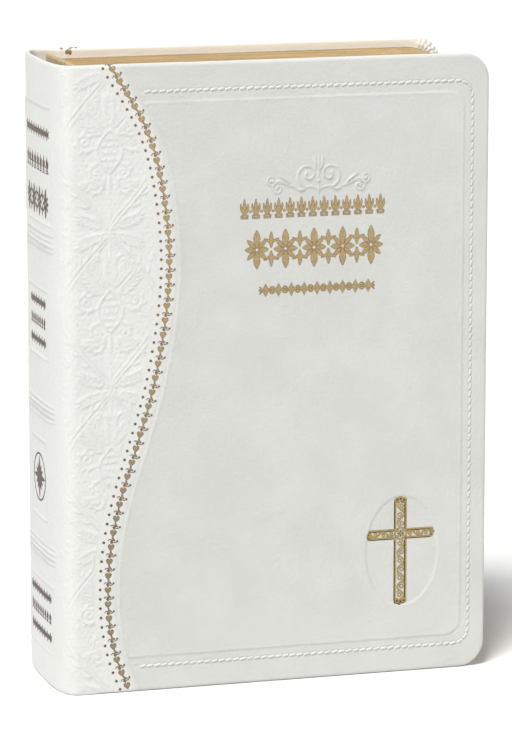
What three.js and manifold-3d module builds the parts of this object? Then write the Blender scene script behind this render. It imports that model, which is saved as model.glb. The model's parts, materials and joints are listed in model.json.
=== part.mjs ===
// A leather-bound bible standing on its tail: +X to the fore-edge, -Y out of the front cover, +Z to the head.
// The spine, two hinge strips and two covers are separate leather pieces. The text block is nine page
// sections side by side, each with its own spine lining and its own stretch of head and tail band.
import * as THREE from 'three';
import { mergeVertices } from 'three/addons/utils/BufferGeometryUtils.js';
import Module from 'manifold-3d';

const wasm = await Module();
wasm.setup();

// Driving dimensions, in millimetres
const HEIGHT = 212;
const WIDTH = 150;
const THICKNESS = 54;
const SPINE_BULGE = 8;
const SPINE_POWER = 3;
const HINGE_STRIP = 6;
const CORNER_RADIUS = 12;
const SQUARE = 3.4;
const LEATHER = 0.8;
const BOARD = 0.8;
const TURN_IN = 4;
const GAP = 0.3;
const CREASE_GAP = 0.4;
const FOIL = 0.2;
const FOIL_RECESS = 0.5;
const SECTION_COUNT = 9;
const PASTEDOWN = 0.3;
const FLYLEAF = 0.3;
const PAGE_CORNER = 9;
const SPINE_HOLLOW = 2;
const LINING = 0.5;
const FLYLEAF_START = 8.3;
const BAND_TAPE = 9.6;
const BAND_RADIUS = 0.9;
const BAND_FOOT_GAP = 1;
const INLAY = 0.6;
const INLAY_ANGLE = Math.PI / 3.2;
const INLAY_END = 4;
const SEGMENTS = 6;
const SPINE_SEGMENTS = 24;
// How far a cutter reaches past the face that it cuts
const OVERSHOOT = 1;

// Places that follow from them
const FORE_X = WIDTH / 2;
const SPINE_CREASE_X = -FORE_X + SPINE_BULGE;
const COVER_CREASE_X = SPINE_CREASE_X + HINGE_STRIP;
const FACE_Y = THICKNESS / 2;
const COVER_THICKNESS = 2 * LEATHER + BOARD + GAP;
const POCKET_DEPTH = BOARD + 2 * GAP;
const PAGE_HALF = FACE_Y - COVER_THICKNESS - FLYLEAF - 2 * GAP;
const PAGE_PITCH = (2 * PAGE_HALF + GAP) / SECTION_COUNT;
const PAGE_THICKNESS = PAGE_PITCH - GAP;
const PAGE_SPINE_X = SPINE_CREASE_X + SPINE_HOLLOW;
const PAGE_FORE_X = FORE_X - SQUARE;
const LINING_X = PAGE_SPINE_X - GAP - LINING;
const FLYLEAF_X = PAGE_SPINE_X + FLYLEAF_START;

const material = (color, roughness, metalness = 0) =>
  new THREE.MeshStandardMaterial({ color, roughness, metalness });
const leatherWhite = material(0xe6e6e2, 0.55);
const boardGrey = material(0xa9a296, 0.9);
const paperCream = material(0xf3efe4, 0.85);
const giltPages = material(0xc9ad78, 0.4, 0.5);
const mullCloth = material(0xd8ccb4, 0.9);
const bandCloth = material(0xc2a36b, 0.7);
const goldFoil = material(0xb2965c, 0.35, 0.9);

const book = new THREE.Group();

function addPiece(name, geometry, pieceMaterial) {
  const mesh = new THREE.Mesh(geometry, pieceMaterial.clone());
  mesh.name = name;
  book.add(mesh);
}

// ---- Solids ----

// A plate whose outline is drawn in X and Z, lying `depth` below the front (side -1) or back (+1) face
function slab(shape, side, depth, thickness) {
  const geometry = new THREE.ExtrudeGeometry(shape, {
    depth: thickness, bevelEnabled: false, curveSegments: SEGMENTS,
  });
  geometry.rotateX(Math.PI / 2);
  const top = side < 0 ? depth + thickness - FACE_Y : FACE_Y - depth;
  return geometry.translate(0, top, 0);
}

// A plate whose outline is drawn in Y and Z, lying `depth` in from the outermost line of the spine
function spinePlate(shape, depth, thickness) {
  const geometry = new THREE.ExtrudeGeometry(shape, {
    depth: thickness, bevelEnabled: false, curveSegments: SEGMENTS,
  });
  const turn = new THREE.Matrix4().makeBasis(
    new THREE.Vector3(0, 1, 0), new THREE.Vector3(0, 0, 1), new THREE.Vector3(1, 0, 0));
  return geometry.applyMatrix4(turn).translate(depth - FORE_X, 0, 0);
}

// A bar whose outline is drawn in X and Y, standing from `low` to `high`
function column(points, low, high) {
  const geometry = new THREE.ExtrudeGeometry(new THREE.Shape(points), {
    depth: high - low, bevelEnabled: false,
  });
  return geometry.translate(0, 0, low);
}

function toSolid(geometry) {
  const bare = geometry.clone();
  bare.deleteAttribute('normal');
  bare.deleteAttribute('uv');
  const merged = mergeVertices(bare, 1e-5);
  return new wasm.Manifold(new wasm.Mesh({
    numProp: 3,
    vertProperties: new Float32Array(merged.attributes.position.array),
    triVerts: new Uint32Array(merged.index.array),
  }));
}

function cut(geometry, cutters) {
  const solid = cutters.reduce((rest, cutter) => rest.subtract(toSolid(cutter)), toSolid(geometry));
  const mesh = solid.getMesh();
  const result = new THREE.BufferGeometry();
  result.setAttribute('position', new THREE.BufferAttribute(new Float32Array(mesh.vertProperties), 3));
  result.setIndex(new THREE.BufferAttribute(new Uint32Array(mesh.triVerts), 1));
  return result;
}

// ---- Outlines ----

// A leaf or board: square at the spine end, rounded at the two fore-edge corners
function leafOutline(left, right, margin, radius) {
  const low = margin;
  const high = HEIGHT - margin;
  const shape = new THREE.Shape();
  shape.moveTo(left, low);
  shape.lineTo(right - radius, low);
  shape.absarc(right - radius, low + radius, radius, -Math.PI / 2, 0);
  shape.lineTo(right, high - radius);
  shape.absarc(right - radius, high - radius, radius, 0, Math.PI / 2);
  shape.lineTo(left, high);
  return shape;
}

function rectangle(left, right, low, high) {
  return new THREE.Shape([[left, low], [right, low], [right, high], [left, high]]
    .map(([x, z]) => new THREE.Vector2(x, z)));
}

const coverOutline = (left, inset) => leafOutline(left, FORE_X - inset, inset, CORNER_RADIUS - inset);
const pageOutline = (left) => leafOutline(left, PAGE_FORE_X, SQUARE, PAGE_CORNER);

// The bowed back of the spine as a line of points, `inset` in from its outer face
function spineArc(inset, reach) {
  const round = (value) => Math.sign(value) * Math.abs(value) ** (2 / SPINE_POWER);
  const edge = SPINE_CREASE_X - CREASE_GAP / 2;
  return Array.from({ length: SPINE_SEGMENTS + 1 }, (_, i) => {
    const angle = reach * (2 * i / SPINE_SEGMENTS - 1);
    const x = edge - (edge + FORE_X - inset) * round(Math.cos(angle));
    return new THREE.Vector2(x, (FACE_Y - inset) * round(Math.sin(angle)));
  });
}

// A foil row's bar is this share of its height, and half a lozenge this share of the pitch
const BAR_SHARE = 0.25;
const BEAD_SHARE = 0.36;

// A foil row: a thin bar that swells into `count` lozenges, with its edges moved out by `growth`
function lozengeRow(left, right, middle, halfHeight, count, growth) {
  const bar = halfHeight * BAR_SHARE;
  const pitch = (right - left) / count;
  const bead = pitch * BEAD_SHARE;
  const rise = halfHeight - bar;
  const slope = Math.hypot(bead, rise);
  const foot = bead + growth * (slope - bead) / rise;
  const tip = halfHeight + growth * slope / bead;
  const end = pitch / 2 - bead - growth;
  const edge = [[left + end, bar + growth]];
  for (let i = 0; i < count; i += 1) {
    const centre = left + (i + 0.5) * pitch;
    edge.push([centre - foot, bar + growth], [centre, tip], [centre + foot, bar + growth]);
  }
  edge.push([right - end, bar + growth]);
  const points = (sign) => edge.map(([x, h]) => new THREE.Vector2(x, middle + sign * h));
  return new THREE.Shape([...points(-1), ...points(1).reverse()]);
}

// ---- Foil ornaments ----

// The heart border runs down the cover in one long S; it is a ribbon with a waved edge
const BORDER_LINE = new THREE.SplineCurve([
  new THREE.Vector2(-55, 209), new THREE.Vector2(-45.3, 192.8), new THREE.Vector2(-38, 168),
  new THREE.Vector2(-36.6, 146), new THREE.Vector2(-40, 115), new THREE.Vector2(-47.5, 86.4),
  new THREE.Vector2(-55, 62), new THREE.Vector2(-58.2, 35), new THREE.Vector2(-56.3, 15.4),
  new THREE.Vector2(-51.6, 3),
]);
const BORDER_HALF = 0.8;
const BORDER_WAVE = 0.35;
const BORDER_WAVES = 21;

function borderOutline(growth) {
  const steps = 2 * BORDER_WAVES;
  const left = [];
  const right = [];
  const beyondEnd = new Map([[0, -growth], [steps, growth]]);
  for (let i = 0; i <= steps; i += 1) {
    const point = BORDER_LINE.getPointAt(i / steps);
    const along = BORDER_LINE.getTangentAt(i / steps);
    const half = BORDER_HALF + growth + BORDER_WAVE * (i % 2);
    const centre = point.addScaledVector(along, beyondEnd.get(i) ?? 0);
    left.push(new THREE.Vector2(centre.x + along.y * half, centre.y - along.x * half));
    right.push(new THREE.Vector2(centre.x - along.y * half, centre.y + along.x * half));
  }
  return new THREE.Shape([...left, ...right.reverse()]);
}

// Rows of the panel ornament: name, left, right, middle height, half height, lozenges
const PANEL_ROWS = [
  ['foil_row_upper', -13.5, 39.4, 162.2, 3.4, 9],
  ['foil_row_middle', -12.9, 39.8, 148.6, 6.4, 5],
  ['foil_row_lower', -6.3, 35.3, 134.8, 2.2, 9],
];

// A cross with round lobes at its four ends
const CROSS = { x: 44.6, z: 48.5, up: 11.2, down: 22.6, side: 9.4, half: 1.9, lobe: 2.6 };

function crossOutline(growth) {
  const half = CROSS.half + growth;
  const lobe = CROSS.lobe + growth;
  const opening = Math.asin(half / lobe);
  const shape = new THREE.Shape();
  const arms = [CROSS.side, CROSS.up, CROSS.side, CROSS.down];
  arms.forEach((length, i) => {
    const turn = i * Math.PI / 2;
    const centreX = CROSS.x + length * Math.cos(turn);
    const centreZ = CROSS.z + length * Math.sin(turn);
    shape.absarc(centreX, centreZ, lobe, turn - Math.PI + opening, turn + Math.PI - opening);
    const corner = turn + Math.PI / 4;
    const reach = half * Math.SQRT2;
    shape.lineTo(CROSS.x + reach * Math.cos(corner), CROSS.z + reach * Math.sin(corner));
  });
  return shape;
}

// Upright lozenge rows on the spine: name, lowest, highest, half width, lozenges
const SPINE_ROWS = [
  ['spine_foil_upper', 120, 200, 4, 6],
  ['spine_foil_lower', 14, 42, 5, 2],
];

function spineRow([, low, high, halfWidth, count], growth) {
  const row = lozengeRow(low, high, 0, halfWidth, count, growth).getPoints();
  return new THREE.Shape(row.map((point) => new THREE.Vector2(-point.y, point.x)));
}

// ---- Covers ----

function panelShapes(growth) {
  const rows = PANEL_ROWS.map(([, left, right, middle, half, count]) =>
    lozengeRow(left, right, middle, half, count, growth));
  return [borderOutline(growth), crossOutline(growth), ...rows];
}

function addCover(prefix, side, foilShapes) {
  const edge = COVER_CREASE_X + CREASE_GAP / 2;
  const beyond = COVER_CREASE_X - OVERSHOOT;
  const pocket = slab(coverOutline(beyond, LEATHER), side, LEATHER, POCKET_DEPTH);
  const opening = slab(coverOutline(beyond, TURN_IN), side, LEATHER + GAP, COVER_THICKNESS);
  const recesses = foilShapes.map((shape) => slab(shape, side, -OVERSHOOT, FOIL_RECESS + OVERSHOOT));
  const blank = slab(coverOutline(edge, 0), side, 0, COVER_THICKNESS);
  addPiece(`${prefix}_leather`, cut(blank, [pocket, opening, ...recesses]), leatherWhite);

  const boardOutline = coverOutline(edge + GAP, LEATHER + GAP);
  addPiece(`${prefix}_board`, slab(boardOutline, side, LEATHER + GAP, BOARD), boardGrey);

  const pastedownOutline = coverOutline(edge + GAP, TURN_IN + GAP);
  const pastedownDepth = COVER_THICKNESS - PASTEDOWN;
  addPiece(`${prefix}_pastedown`, slab(pastedownOutline, side, pastedownDepth, PASTEDOWN), paperCream);
}

function addHingeStrip(name, side) {
  const left = SPINE_CREASE_X + CREASE_GAP / 2;
  const right = COVER_CREASE_X - CREASE_GAP / 2;
  addPiece(name, slab(rectangle(left, right, 0, HEIGHT), side, 0, LEATHER), leatherWhite);
}

function addSpine() {
  const half = Math.PI / 2;
  const shell = [...spineArc(0, half).reverse(), ...spineArc(LEATHER, half)];
  const recesses = SPINE_ROWS.map((row) =>
    spinePlate(spineRow(row, GAP), -OVERSHOOT, FOIL_RECESS + OVERSHOOT));
  addPiece('spine_leather', cut(column(shell, 0, HEIGHT), recesses), leatherWhite);

  const outer = spineArc(LEATHER + GAP, INLAY_ANGLE).reverse();
  const inner = spineArc(LEATHER + GAP + INLAY, INLAY_ANGLE);
  addPiece('spine_inlay', column([...outer, ...inner], INLAY_END, HEIGHT - INLAY_END), boardGrey);

  SPINE_ROWS.forEach((row) => addPiece(row[0], spinePlate(spineRow(row, 0), 0, FOIL), goldFoil));
}

function addFrontFoil() {
  const [border, cross, ...rows] = panelShapes(0);
  addPiece('foil_border', slab(border, -1, 0, FOIL), goldFoil);
  addPiece('foil_cross', slab(cross, -1, 0, FOIL), goldFoil);
  rows.forEach((shape, i) => addPiece(PANEL_ROWS[i][0], slab(shape, -1, 0, FOIL), goldFoil));
}

// ---- Text block ----

// The band's profile: a tape glued down the spine edge under a round bead that covers the leaf ends
function bandOutline(atHead) {
  const level = (z) => (atHead ? z : HEIGHT - z);
  const foot = HEIGHT - SQUARE - BAND_TAPE;
  const beadZ = HEIGHT - SQUARE + GAP + BAND_RADIUS;
  const beadX = LINING_X + BAND_RADIUS;
  const arc = Array.from({ length: SEGMENTS + 1 }, (_, i) => {
    const angle = -Math.PI / 2 + (i / SEGMENTS) * 1.5 * Math.PI;
    return [beadX + BAND_RADIUS * Math.cos(angle), beadZ + BAND_RADIUS * Math.sin(angle)];
  });
  const tape = [[LINING_X, foot], [LINING_X + LINING, foot], [LINING_X + LINING, beadZ - BAND_RADIUS]];
  return new THREE.Shape([...tape, ...arc].map(([x, z]) => new THREE.Vector2(x, level(z))));
}

function addPageSection(number) {
  const middle = (number - (SECTION_COUNT + 1) / 2) * PAGE_PITCH;
  const depth = middle - PAGE_THICKNESS / 2 + FACE_Y;
  const liningFoot = SQUARE + BAND_TAPE + BAND_FOOT_GAP;
  addPiece(`page_section_${number}`, slab(pageOutline(PAGE_SPINE_X), -1, depth, PAGE_THICKNESS), giltPages);
  const lining = rectangle(LINING_X, LINING_X + LINING, liningFoot, HEIGHT - liningFoot);
  addPiece(`spine_lining_${number}`, slab(lining, -1, depth, PAGE_THICKNESS), mullCloth);
  addPiece(`head_band_${number}`, slab(bandOutline(true), -1, depth, PAGE_THICKNESS), bandCloth);
  addPiece(`tail_band_${number}`, slab(bandOutline(false), -1, depth, PAGE_THICKNESS), bandCloth);
}

function addFlyleaf(name, side) {
  const depth = COVER_THICKNESS + GAP;
  addPiece(name, slab(pageOutline(FLYLEAF_X), side, depth, FLYLEAF), paperCream);
}

addSpine();
addHingeStrip('front_hinge_leather', -1);
addHingeStrip('back_hinge_leather', 1);
addCover('front_cover', -1, panelShapes(GAP));
addCover('back_cover', 1, [borderOutline(GAP)]);
addFrontFoil();
addPiece('foil_border_back', slab(borderOutline(0), 1, 0, FOIL), goldFoil);
addFlyleaf('front_flyleaf', -1);
addFlyleaf('back_flyleaf', 1);
for (let number = 1; number <= SECTION_COUNT; number += 1) addPageSection(number);

export default book;
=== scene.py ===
"""A white leather-bound bible standing closed on its tail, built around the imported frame."""

import json
import math

import bpy
import numpy as np
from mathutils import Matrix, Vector


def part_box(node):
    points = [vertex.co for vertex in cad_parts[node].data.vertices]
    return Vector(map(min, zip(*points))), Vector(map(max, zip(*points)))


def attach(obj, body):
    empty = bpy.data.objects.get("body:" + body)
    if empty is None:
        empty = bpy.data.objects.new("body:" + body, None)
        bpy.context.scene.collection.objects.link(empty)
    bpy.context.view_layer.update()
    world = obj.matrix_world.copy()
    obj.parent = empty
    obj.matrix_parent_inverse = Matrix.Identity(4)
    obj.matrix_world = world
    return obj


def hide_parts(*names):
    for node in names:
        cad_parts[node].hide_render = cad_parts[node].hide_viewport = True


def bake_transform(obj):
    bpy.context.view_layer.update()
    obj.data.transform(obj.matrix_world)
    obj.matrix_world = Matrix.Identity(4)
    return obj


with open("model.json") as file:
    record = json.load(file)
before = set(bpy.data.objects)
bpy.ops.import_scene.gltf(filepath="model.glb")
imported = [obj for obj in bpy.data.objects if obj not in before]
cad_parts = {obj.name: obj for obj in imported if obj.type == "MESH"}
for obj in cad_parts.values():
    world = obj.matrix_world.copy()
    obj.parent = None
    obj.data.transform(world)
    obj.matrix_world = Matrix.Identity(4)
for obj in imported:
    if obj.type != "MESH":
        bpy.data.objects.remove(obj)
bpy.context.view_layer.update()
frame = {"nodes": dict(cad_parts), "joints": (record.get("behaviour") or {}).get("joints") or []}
MM = 0.001


# ---- Sizes and places, in millimetres, from the frame ----

def box_mm(node):
    low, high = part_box(node)
    return np.array(low) / MM, np.array(high) / MM


def joint_mm(name):
    joint = next(j for j in frame["joints"] if j["name"] == name)
    return np.array(joint["pos_m"]) / MM


cover_low, cover_high = box_mm("front_cover_leather")
spine_low, spine_high = box_mm("spine_leather")

HEIGHT = spine_high[2]
FACE = -cover_low[1]
FORE = cover_high[0]
SPINE_CREASE = joint_mm("front_hinge_fold")[0]
COVER_CREASE = joint_mm("front_cover_opening")[0]
BULGE = SPINE_CREASE - spine_low[0]
COVER_THICKNESS = cover_high[1] - cover_low[1]

# The cover's corner radius, the round of its edges, and how far the leather turns in behind it
CORNER = 9.2
EDGE = 1.1
TURN_IN = 5.0
SPINE_TURN_IN = 14.0
SPINE_LIP_THICKNESS = 1.5
# The skin thickens from the spine's to the cover's between these distances from the spine crease
THICKENING = (1.5, 8.5)
# Where the skins meet, counted from the spine crease: the hinge's middle, and a little way round the spine
SEAM_U = (COVER_CREASE - SPINE_CREASE) / 2
JOINT_U = -9.0
FRONT, BACK = -1, 1
SIDE_NAMES = {FRONT: "front", BACK: "back"}
# The spine's section is a half superellipse of this power
SPINE_POWER = 3
# Steps round an edge, and the length of leather that it takes
RIM_STEPS = 8
RIM_LENGTH = 3.85
UP = math.pi / 2


def smooth(value, low=0.0, high=1.0):
    t = np.clip((np.asarray(value, float) - low) / (high - low), 0, 1)
    return t * t * (3 - 2 * t)


# ---- The unrolled leather: u runs from the spine crease to the fore-edge, and below 0 round the spine ----

def lengths_along(points):
    return np.concatenate([[0], np.cumsum(np.hypot(*np.diff(points, axis=0).T))])


def circle(centre, radius, angles):
    return np.stack([centre[0] + radius * np.cos(angles), centre[1] + radius * np.sin(angles)], 1)


def bowed(value):
    return np.sign(value) * np.abs(value) ** (2 / SPINE_POWER)


def spine_section(samples=3000):
    angle = np.linspace(-UP, UP, samples)
    x = SPINE_CREASE - BULGE * bowed(np.cos(angle))
    y = FACE * bowed(np.sin(angle))
    return lengths_along(np.stack([x, y], 1)), x, y


ARC_S, ARC_X, ARC_Y = spine_section()
ARC = ARC_S[-1]


def skin_thickness(u):
    return SPINE_LIP_THICKNESS + (COVER_THICKNESS - SPINE_LIP_THICKNESS) * smooth(u, *THICKENING)


def across(u):
    """Place and outward normal, in X and Y, of unrolled places on the front half of the section."""
    u = np.asarray(u, float)
    s = np.clip(-u, 0, ARC)
    x = np.where(u >= 0, SPINE_CREASE + u, np.interp(s, ARC_S, ARC_X))
    y = np.where(u >= 0, -FACE, np.interp(s, ARC_S, ARC_Y))
    step = 0.05
    s0, s1 = np.clip(s - step, 0, ARC), np.clip(s + step, 0, ARC)
    tx = np.interp(s1, ARC_S, ARC_X) - np.interp(s0, ARC_S, ARC_X)
    ty = np.interp(s1, ARC_S, ARC_Y) - np.interp(s0, ARC_S, ARC_Y)
    size = np.maximum(np.hypot(tx, ty), 1e-9)
    nx = np.where(u >= 0, 0, -ty / size)
    ny = np.where(u >= 0, -1, tx / size)
    return x, y, nx, ny


def place(u, z, out, side):
    """Unrolled places to points in X, Y, Z. Above the head edge the leather turns over and runs down
    inside."""
    u, z, out = np.broadcast_arrays(*[np.asarray(v, float) for v in (u, z, out)])
    x, y, nx, ny = across(u)
    thick = skin_thickness(u)
    over = z - (HEIGHT - EDGE)
    turn = np.clip(over / RIM_LENGTH, 0, 1) * math.pi
    inside = np.maximum(over - RIM_LENGTH, 0)
    z_rim = HEIGHT - EDGE + EDGE * np.sin(turn) - inside
    depth = thick / 2 * (1 - np.cos(turn))
    z_on = np.where(over > 0, z_rim + out * np.sin(turn), z)
    inward = np.where(over > 0, depth - out * np.cos(turn), -out)
    return np.stack([x - nx * inward, -side * (y - ny * inward), z_on], -1)


# ---- Height map of the embossing, drawn with strokes on the unrolled leather ----

CELL = 0.12
# No stroke is drawn narrower than this, and the thin ends of a stroke are lower
FINEST_STROKE = 2.4 * CELL
THIN_SHARE = 0.3
MAP_U0 = -ARC / 2 - 1
MAP_WIDTH = FORE - SPINE_CREASE - MAP_U0


def resample(points, step):
    points = np.asarray(points, float)
    length = lengths_along(points)
    at = np.linspace(0, length[-1], max(2, int(length[-1] / step) + 1))
    return np.stack([np.interp(at, length, points[:, 0]), np.interp(at, length, points[:, 1])], 1)


def spread(widths, count):
    """Widths given at even spacing along a line, for each of its points."""
    widths = np.atleast_1d(np.asarray(widths, float))
    return np.interp(np.linspace(0, 1, count), np.linspace(0, 1, len(widths)), widths)


def blended(corner, right, up):
    """Blends between the four corners of a cell."""
    low = corner(0, 0) * (1 - right) + corner(1, 0) * right
    high = corner(0, 1) * (1 - right) + corner(1, 1) * right
    return low * (1 - up) + high * up


class Relief:
    """Heights in millimetres above the leather's plain face, from the tail upwards."""

    def __init__(self, height):
        self.map = np.zeros((int(height / CELL) + 3, int(MAP_WIDTH / CELL) + 3))

    def stroke(self, points, widths, height):
        line = resample(points, 0.8 * CELL)
        width = np.maximum(spread(widths, len(line)), FINEST_STROKE)
        reach = int(width.max() / 2 / CELL) + 1
        ci, cj = (line[:, 0] - MAP_U0) / CELL, line[:, 1] / CELL
        offset = np.arange(-reach, reach + 1)
        i = np.rint(ci).astype(int)[:, None, None] + offset[None, None, :]
        j = np.rint(cj).astype(int)[:, None, None] + offset[None, :, None]
        i, j = np.broadcast_arrays(i, j)
        away = np.hypot(i - ci[:, None, None], j - cj[:, None, None]) * CELL / (width / 2)[:, None, None]
        full = np.minimum(1, THIN_SHARE + (1 - THIN_SHARE) * width / np.max(widths))[:, None, None]
        value = height * np.clip(1 - away ** 2, 0, 1) * full
        rows, columns = self.map.shape
        good = (i >= 0) & (i < columns) & (j >= 0) & (j < rows) & (value > 0)
        np.maximum.at(self.map, (j[good], i[good]), value[good])

    def sample(self, u, z):
        u = np.where(u < -ARC / 2, -ARC - u, u)
        i = np.clip((u - MAP_U0) / CELL, 0, self.map.shape[1] - 1.001)
        j = np.clip(z / CELL, 0, self.map.shape[0] - 1.001)
        a, b = i.astype(int), j.astype(int)
        return blended(lambda right, up: self.map[b + up, a + right], i - a, j - b)

    def grid(self):
        """The unrolled place of every cell."""
        z, u = np.mgrid[0:self.map.shape[0], 0:self.map.shape[1]] * CELL
        return u + MAP_U0, z


def turned(points, angle, origin=(0, 0), flip=1):
    """Local points turned by angle, mirrored across the upright axis when flip is -1, and moved to origin."""
    points = np.asarray(points, float)
    c, s = math.cos(angle), math.sin(angle)
    x, y = points[:, 0] * c - points[:, 1] * s, points[:, 0] * s + points[:, 1] * c
    return np.stack([origin[0] + flip * x, origin[1] + y], 1)


def curl(radius, turns, tail, samples=44):
    """A scroll: a stem along +X that winds into a spiral above its far end."""
    t = np.linspace(0, 1, samples)
    angle = -UP + turns * 2 * math.pi * t
    r = radius * (1 - 0.84 * t ** 0.8)
    spiral = np.stack([tail + r * np.cos(angle), radius + r * np.sin(angle)], 1)
    stem = np.stack([np.linspace(0, tail, 12), 0.12 * radius * np.sin(np.linspace(0, math.pi, 12))], 1)
    return np.vstack([stem[:-1], spiral])


def leaf_line(length, bend, samples=12):
    t = np.linspace(0, 1, samples)
    return np.stack([length * t, bend * length * t ** 2], 1)


LEAF_WIDTHS = np.array((0.35, 1.0, 1.25, 1.0, 0.3))


class Ornament:
    """Scrollwork drawn on a relief about an upright axis, with x to one side of it."""

    def __init__(self, relief, centre, flip, height):
        self.relief, self.centre, self.flip, self.height = relief, centre, flip, height

    def line(self, points, widths, share=1.0):
        self.relief.stroke(turned(points, 0, self.centre, self.flip), widths, self.height * share)

    def leaf(self, origin, angle, length, bend=0.0, width=0.9, share=1.0):
        self.line(turned(leaf_line(length, bend), angle, origin), LEAF_WIDTHS * width, share)

    def spray(self, origin, angle, length, bend=0.0, lobes=4, width=0.8):
        """A curved frond: a vein with pointed lobes on both sides and one at its tip."""
        vein = turned(leaf_line(length * 0.86, bend), angle, origin)
        self.line(vein, (0.5, 0.75, 0.45), 0.8)
        for k in range(lobes):
            at = (k + 0.6) / (lobes + 0.35)
            index = int(at * (len(vein) - 1))
            ahead = vein[min(index + 1, len(vein) - 1)] - vein[max(index - 1, 0)]
            heading = math.atan2(ahead[1], ahead[0])
            reach = length * 0.42 * math.sin(math.pi * (0.22 + 0.62 * at))
            for hand in (1, -1):
                self.leaf(vein[index], heading + hand * 0.72, reach, -hand * 0.3, width)
        self.leaf(vein[-2], math.atan2(*(vein[-1] - vein[-3])[::-1]), length * 0.26, 0, width)

    def scroll(self, origin, angle, radius, turns, tail, hand=1, leaves=7):
        """A winding stem with a berry at its eye and leaflets along its outside."""
        stem = turned(curl(radius, turns, tail) * (1, hand), angle, origin)
        self.line(stem, (0.55, 0.95, 1.1, 0.9, 0.6, 1.2))
        self.line([stem[-1], stem[-1] + 0.05], 1.5)
        for k in range(leaves):
            index = 4 + k * 4
            ahead = stem[index + 1] - stem[index - 1]
            heading = math.atan2(ahead[1], ahead[0])
            self.leaf(stem[index], heading - hand * 0.95, radius * 0.62, hand * 0.4, 0.7)

    def rosette(self, centre, petals, radius, width=0.9):
        for k in range(petals):
            angle = (k + 0.5) * 2 * math.pi / petals
            start = (centre[0] + 0.3 * radius * math.cos(angle), centre[1] + 0.3 * radius * math.sin(angle))
            self.leaf(start, angle, radius * 0.7, 0, width)
        self.line([centre, (centre[0] + 0.05, centre[1])], 0.4 * radius)


# The heart border falls down each cover in one long S, from (u, z) at the head to the tail
BORDER_KNOTS = [
    (7.5, 219), (11.8, 210.0), (21.7, 192.8), (27.2, 176.0), (30.3, 152.0), (29.4, 130.0), (25.0, 105.0),
    (18.9, 84.0), (13.0, 65.0), (9.4, 46.0), (9.0, 27.0), (11.6, 12.0), (17.0, -2.0),
]


def catmull(knots, samples=24):
    k = np.asarray(knots, float)
    k = np.vstack([2 * k[0] - k[1], k, 2 * k[-1] - k[-2]])
    t = np.linspace(0, 1, samples, endpoint=False)[:, None]
    spans = []
    for a, b, c, d in zip(k[:-3], k[1:-2], k[2:-1], k[3:]):
        spans.append(0.5 * (2 * b + (c - a) * t + (2 * a - 5 * b + 4 * c - d) * t ** 2
                            + (3 * b - a - 3 * c + d) * t ** 3))
    return np.vstack(spans + [k[-2:-1]])


BORDER = resample(catmull(BORDER_KNOTS), 0.3)


def border_u(z):
    return np.interp(-np.asarray(z, float), -BORDER[:, 1], BORDER[:, 0])


# Distances from the border's middle line: the dots on its left, and the thin embossed line on its right
DOT_ROW = 2.7
SHADOW_LINE = 3.7
SHADOW_WIDTH, SHADOW_HEIGHT = 0.8, 0.12
# The scrollwork keeps this far from the border, repeats up its axis, and fades out on the way to the spine
DAMASK_MARGIN = 4.4
DAMASK_AXIS = 10.3
DAMASK_PERIOD = 53.04
DAMASK_PHASE = 2.0
DAMASK_FADE = (-9.0, -2.0)
DAMASK_HEIGHT = 0.3
# The ground between the scrolls is filled with small seeds on a staggered grid, up to this far from the spine
SEED_PITCH = 1.9
SEED_ROW_PITCH = 0.87 * SEED_PITCH
SEED_WIDTH = 0.85
SEED_HEIGHT = 0.55 * DAMASK_HEIGHT
SEED_CLEARANCE = 0.75
SEED_REACH = 45.0


# Half of one repeat, beside its upright axis and about its middle.
# Sprays: origin, angle, length, bend, lobes. Scrolls: origin, angle, radius, turns, tail, hand, leaves.
DAMASK_SPRAYS = (
    ((0.6, 6.8), 1.12, 12.0, -0.22, 5), ((1.8, 5.0), 0.52, 12.0, 0.25, 5), ((1.6, -9.0), -0.55, 8.5, 0.28, 4),
    ((1.4, 25.0), -0.2, 11.0, -0.16, 5), ((1.4, -25.0), 0.2, 11.0, 0.16, 5),
    ((23.0, 9.0), -1.75, 13.0, 0.1, 5))
DAMASK_SCROLLS = (
    ((4.6, 0.6), -0.15, 3.1, 1.5, 3.4, 1, 7), ((3.6, -3.4), -0.7, 2.4, 1.4, 3.2, -1, 5),
    ((1.2, -8.3), -1.2, 2.6, 1.4, 4.6, 1, 7), ((0.8, 15.5), 0.85, 1.9, 1.3, 3.2, -1, 5),
    ((15.2, 19.6), -1.9, 2.4, 1.4, 1.8, 1, 5), ((15.2, -19.6), 1.9, 2.4, 1.4, 1.8, -1, 5),
    ((20.2, 1.8), 0.9, 2.4, 1.4, 2.2, 1, 5), ((20.2, -3.4), -0.9, 2.4, 1.4, 2.2, -1, 5))
# The pointed frame round the motif bows out this far, with a second line just inside it and leaves along it
FRAME_BOW, INNER_BOW, FRAME_POINT = 17.2, 15.4, 1.2
FRAME_LEAVES = 13
# The cone at the motif's middle, and the rows of scales on it
CONE_HALF, CONE_FOOT, CONE_LENGTH = 4.3, -7.4, 14.4
SCALE_HALF, SCALE_START, SCALE_PITCH = 0.75, -4.6, 2.3


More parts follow.
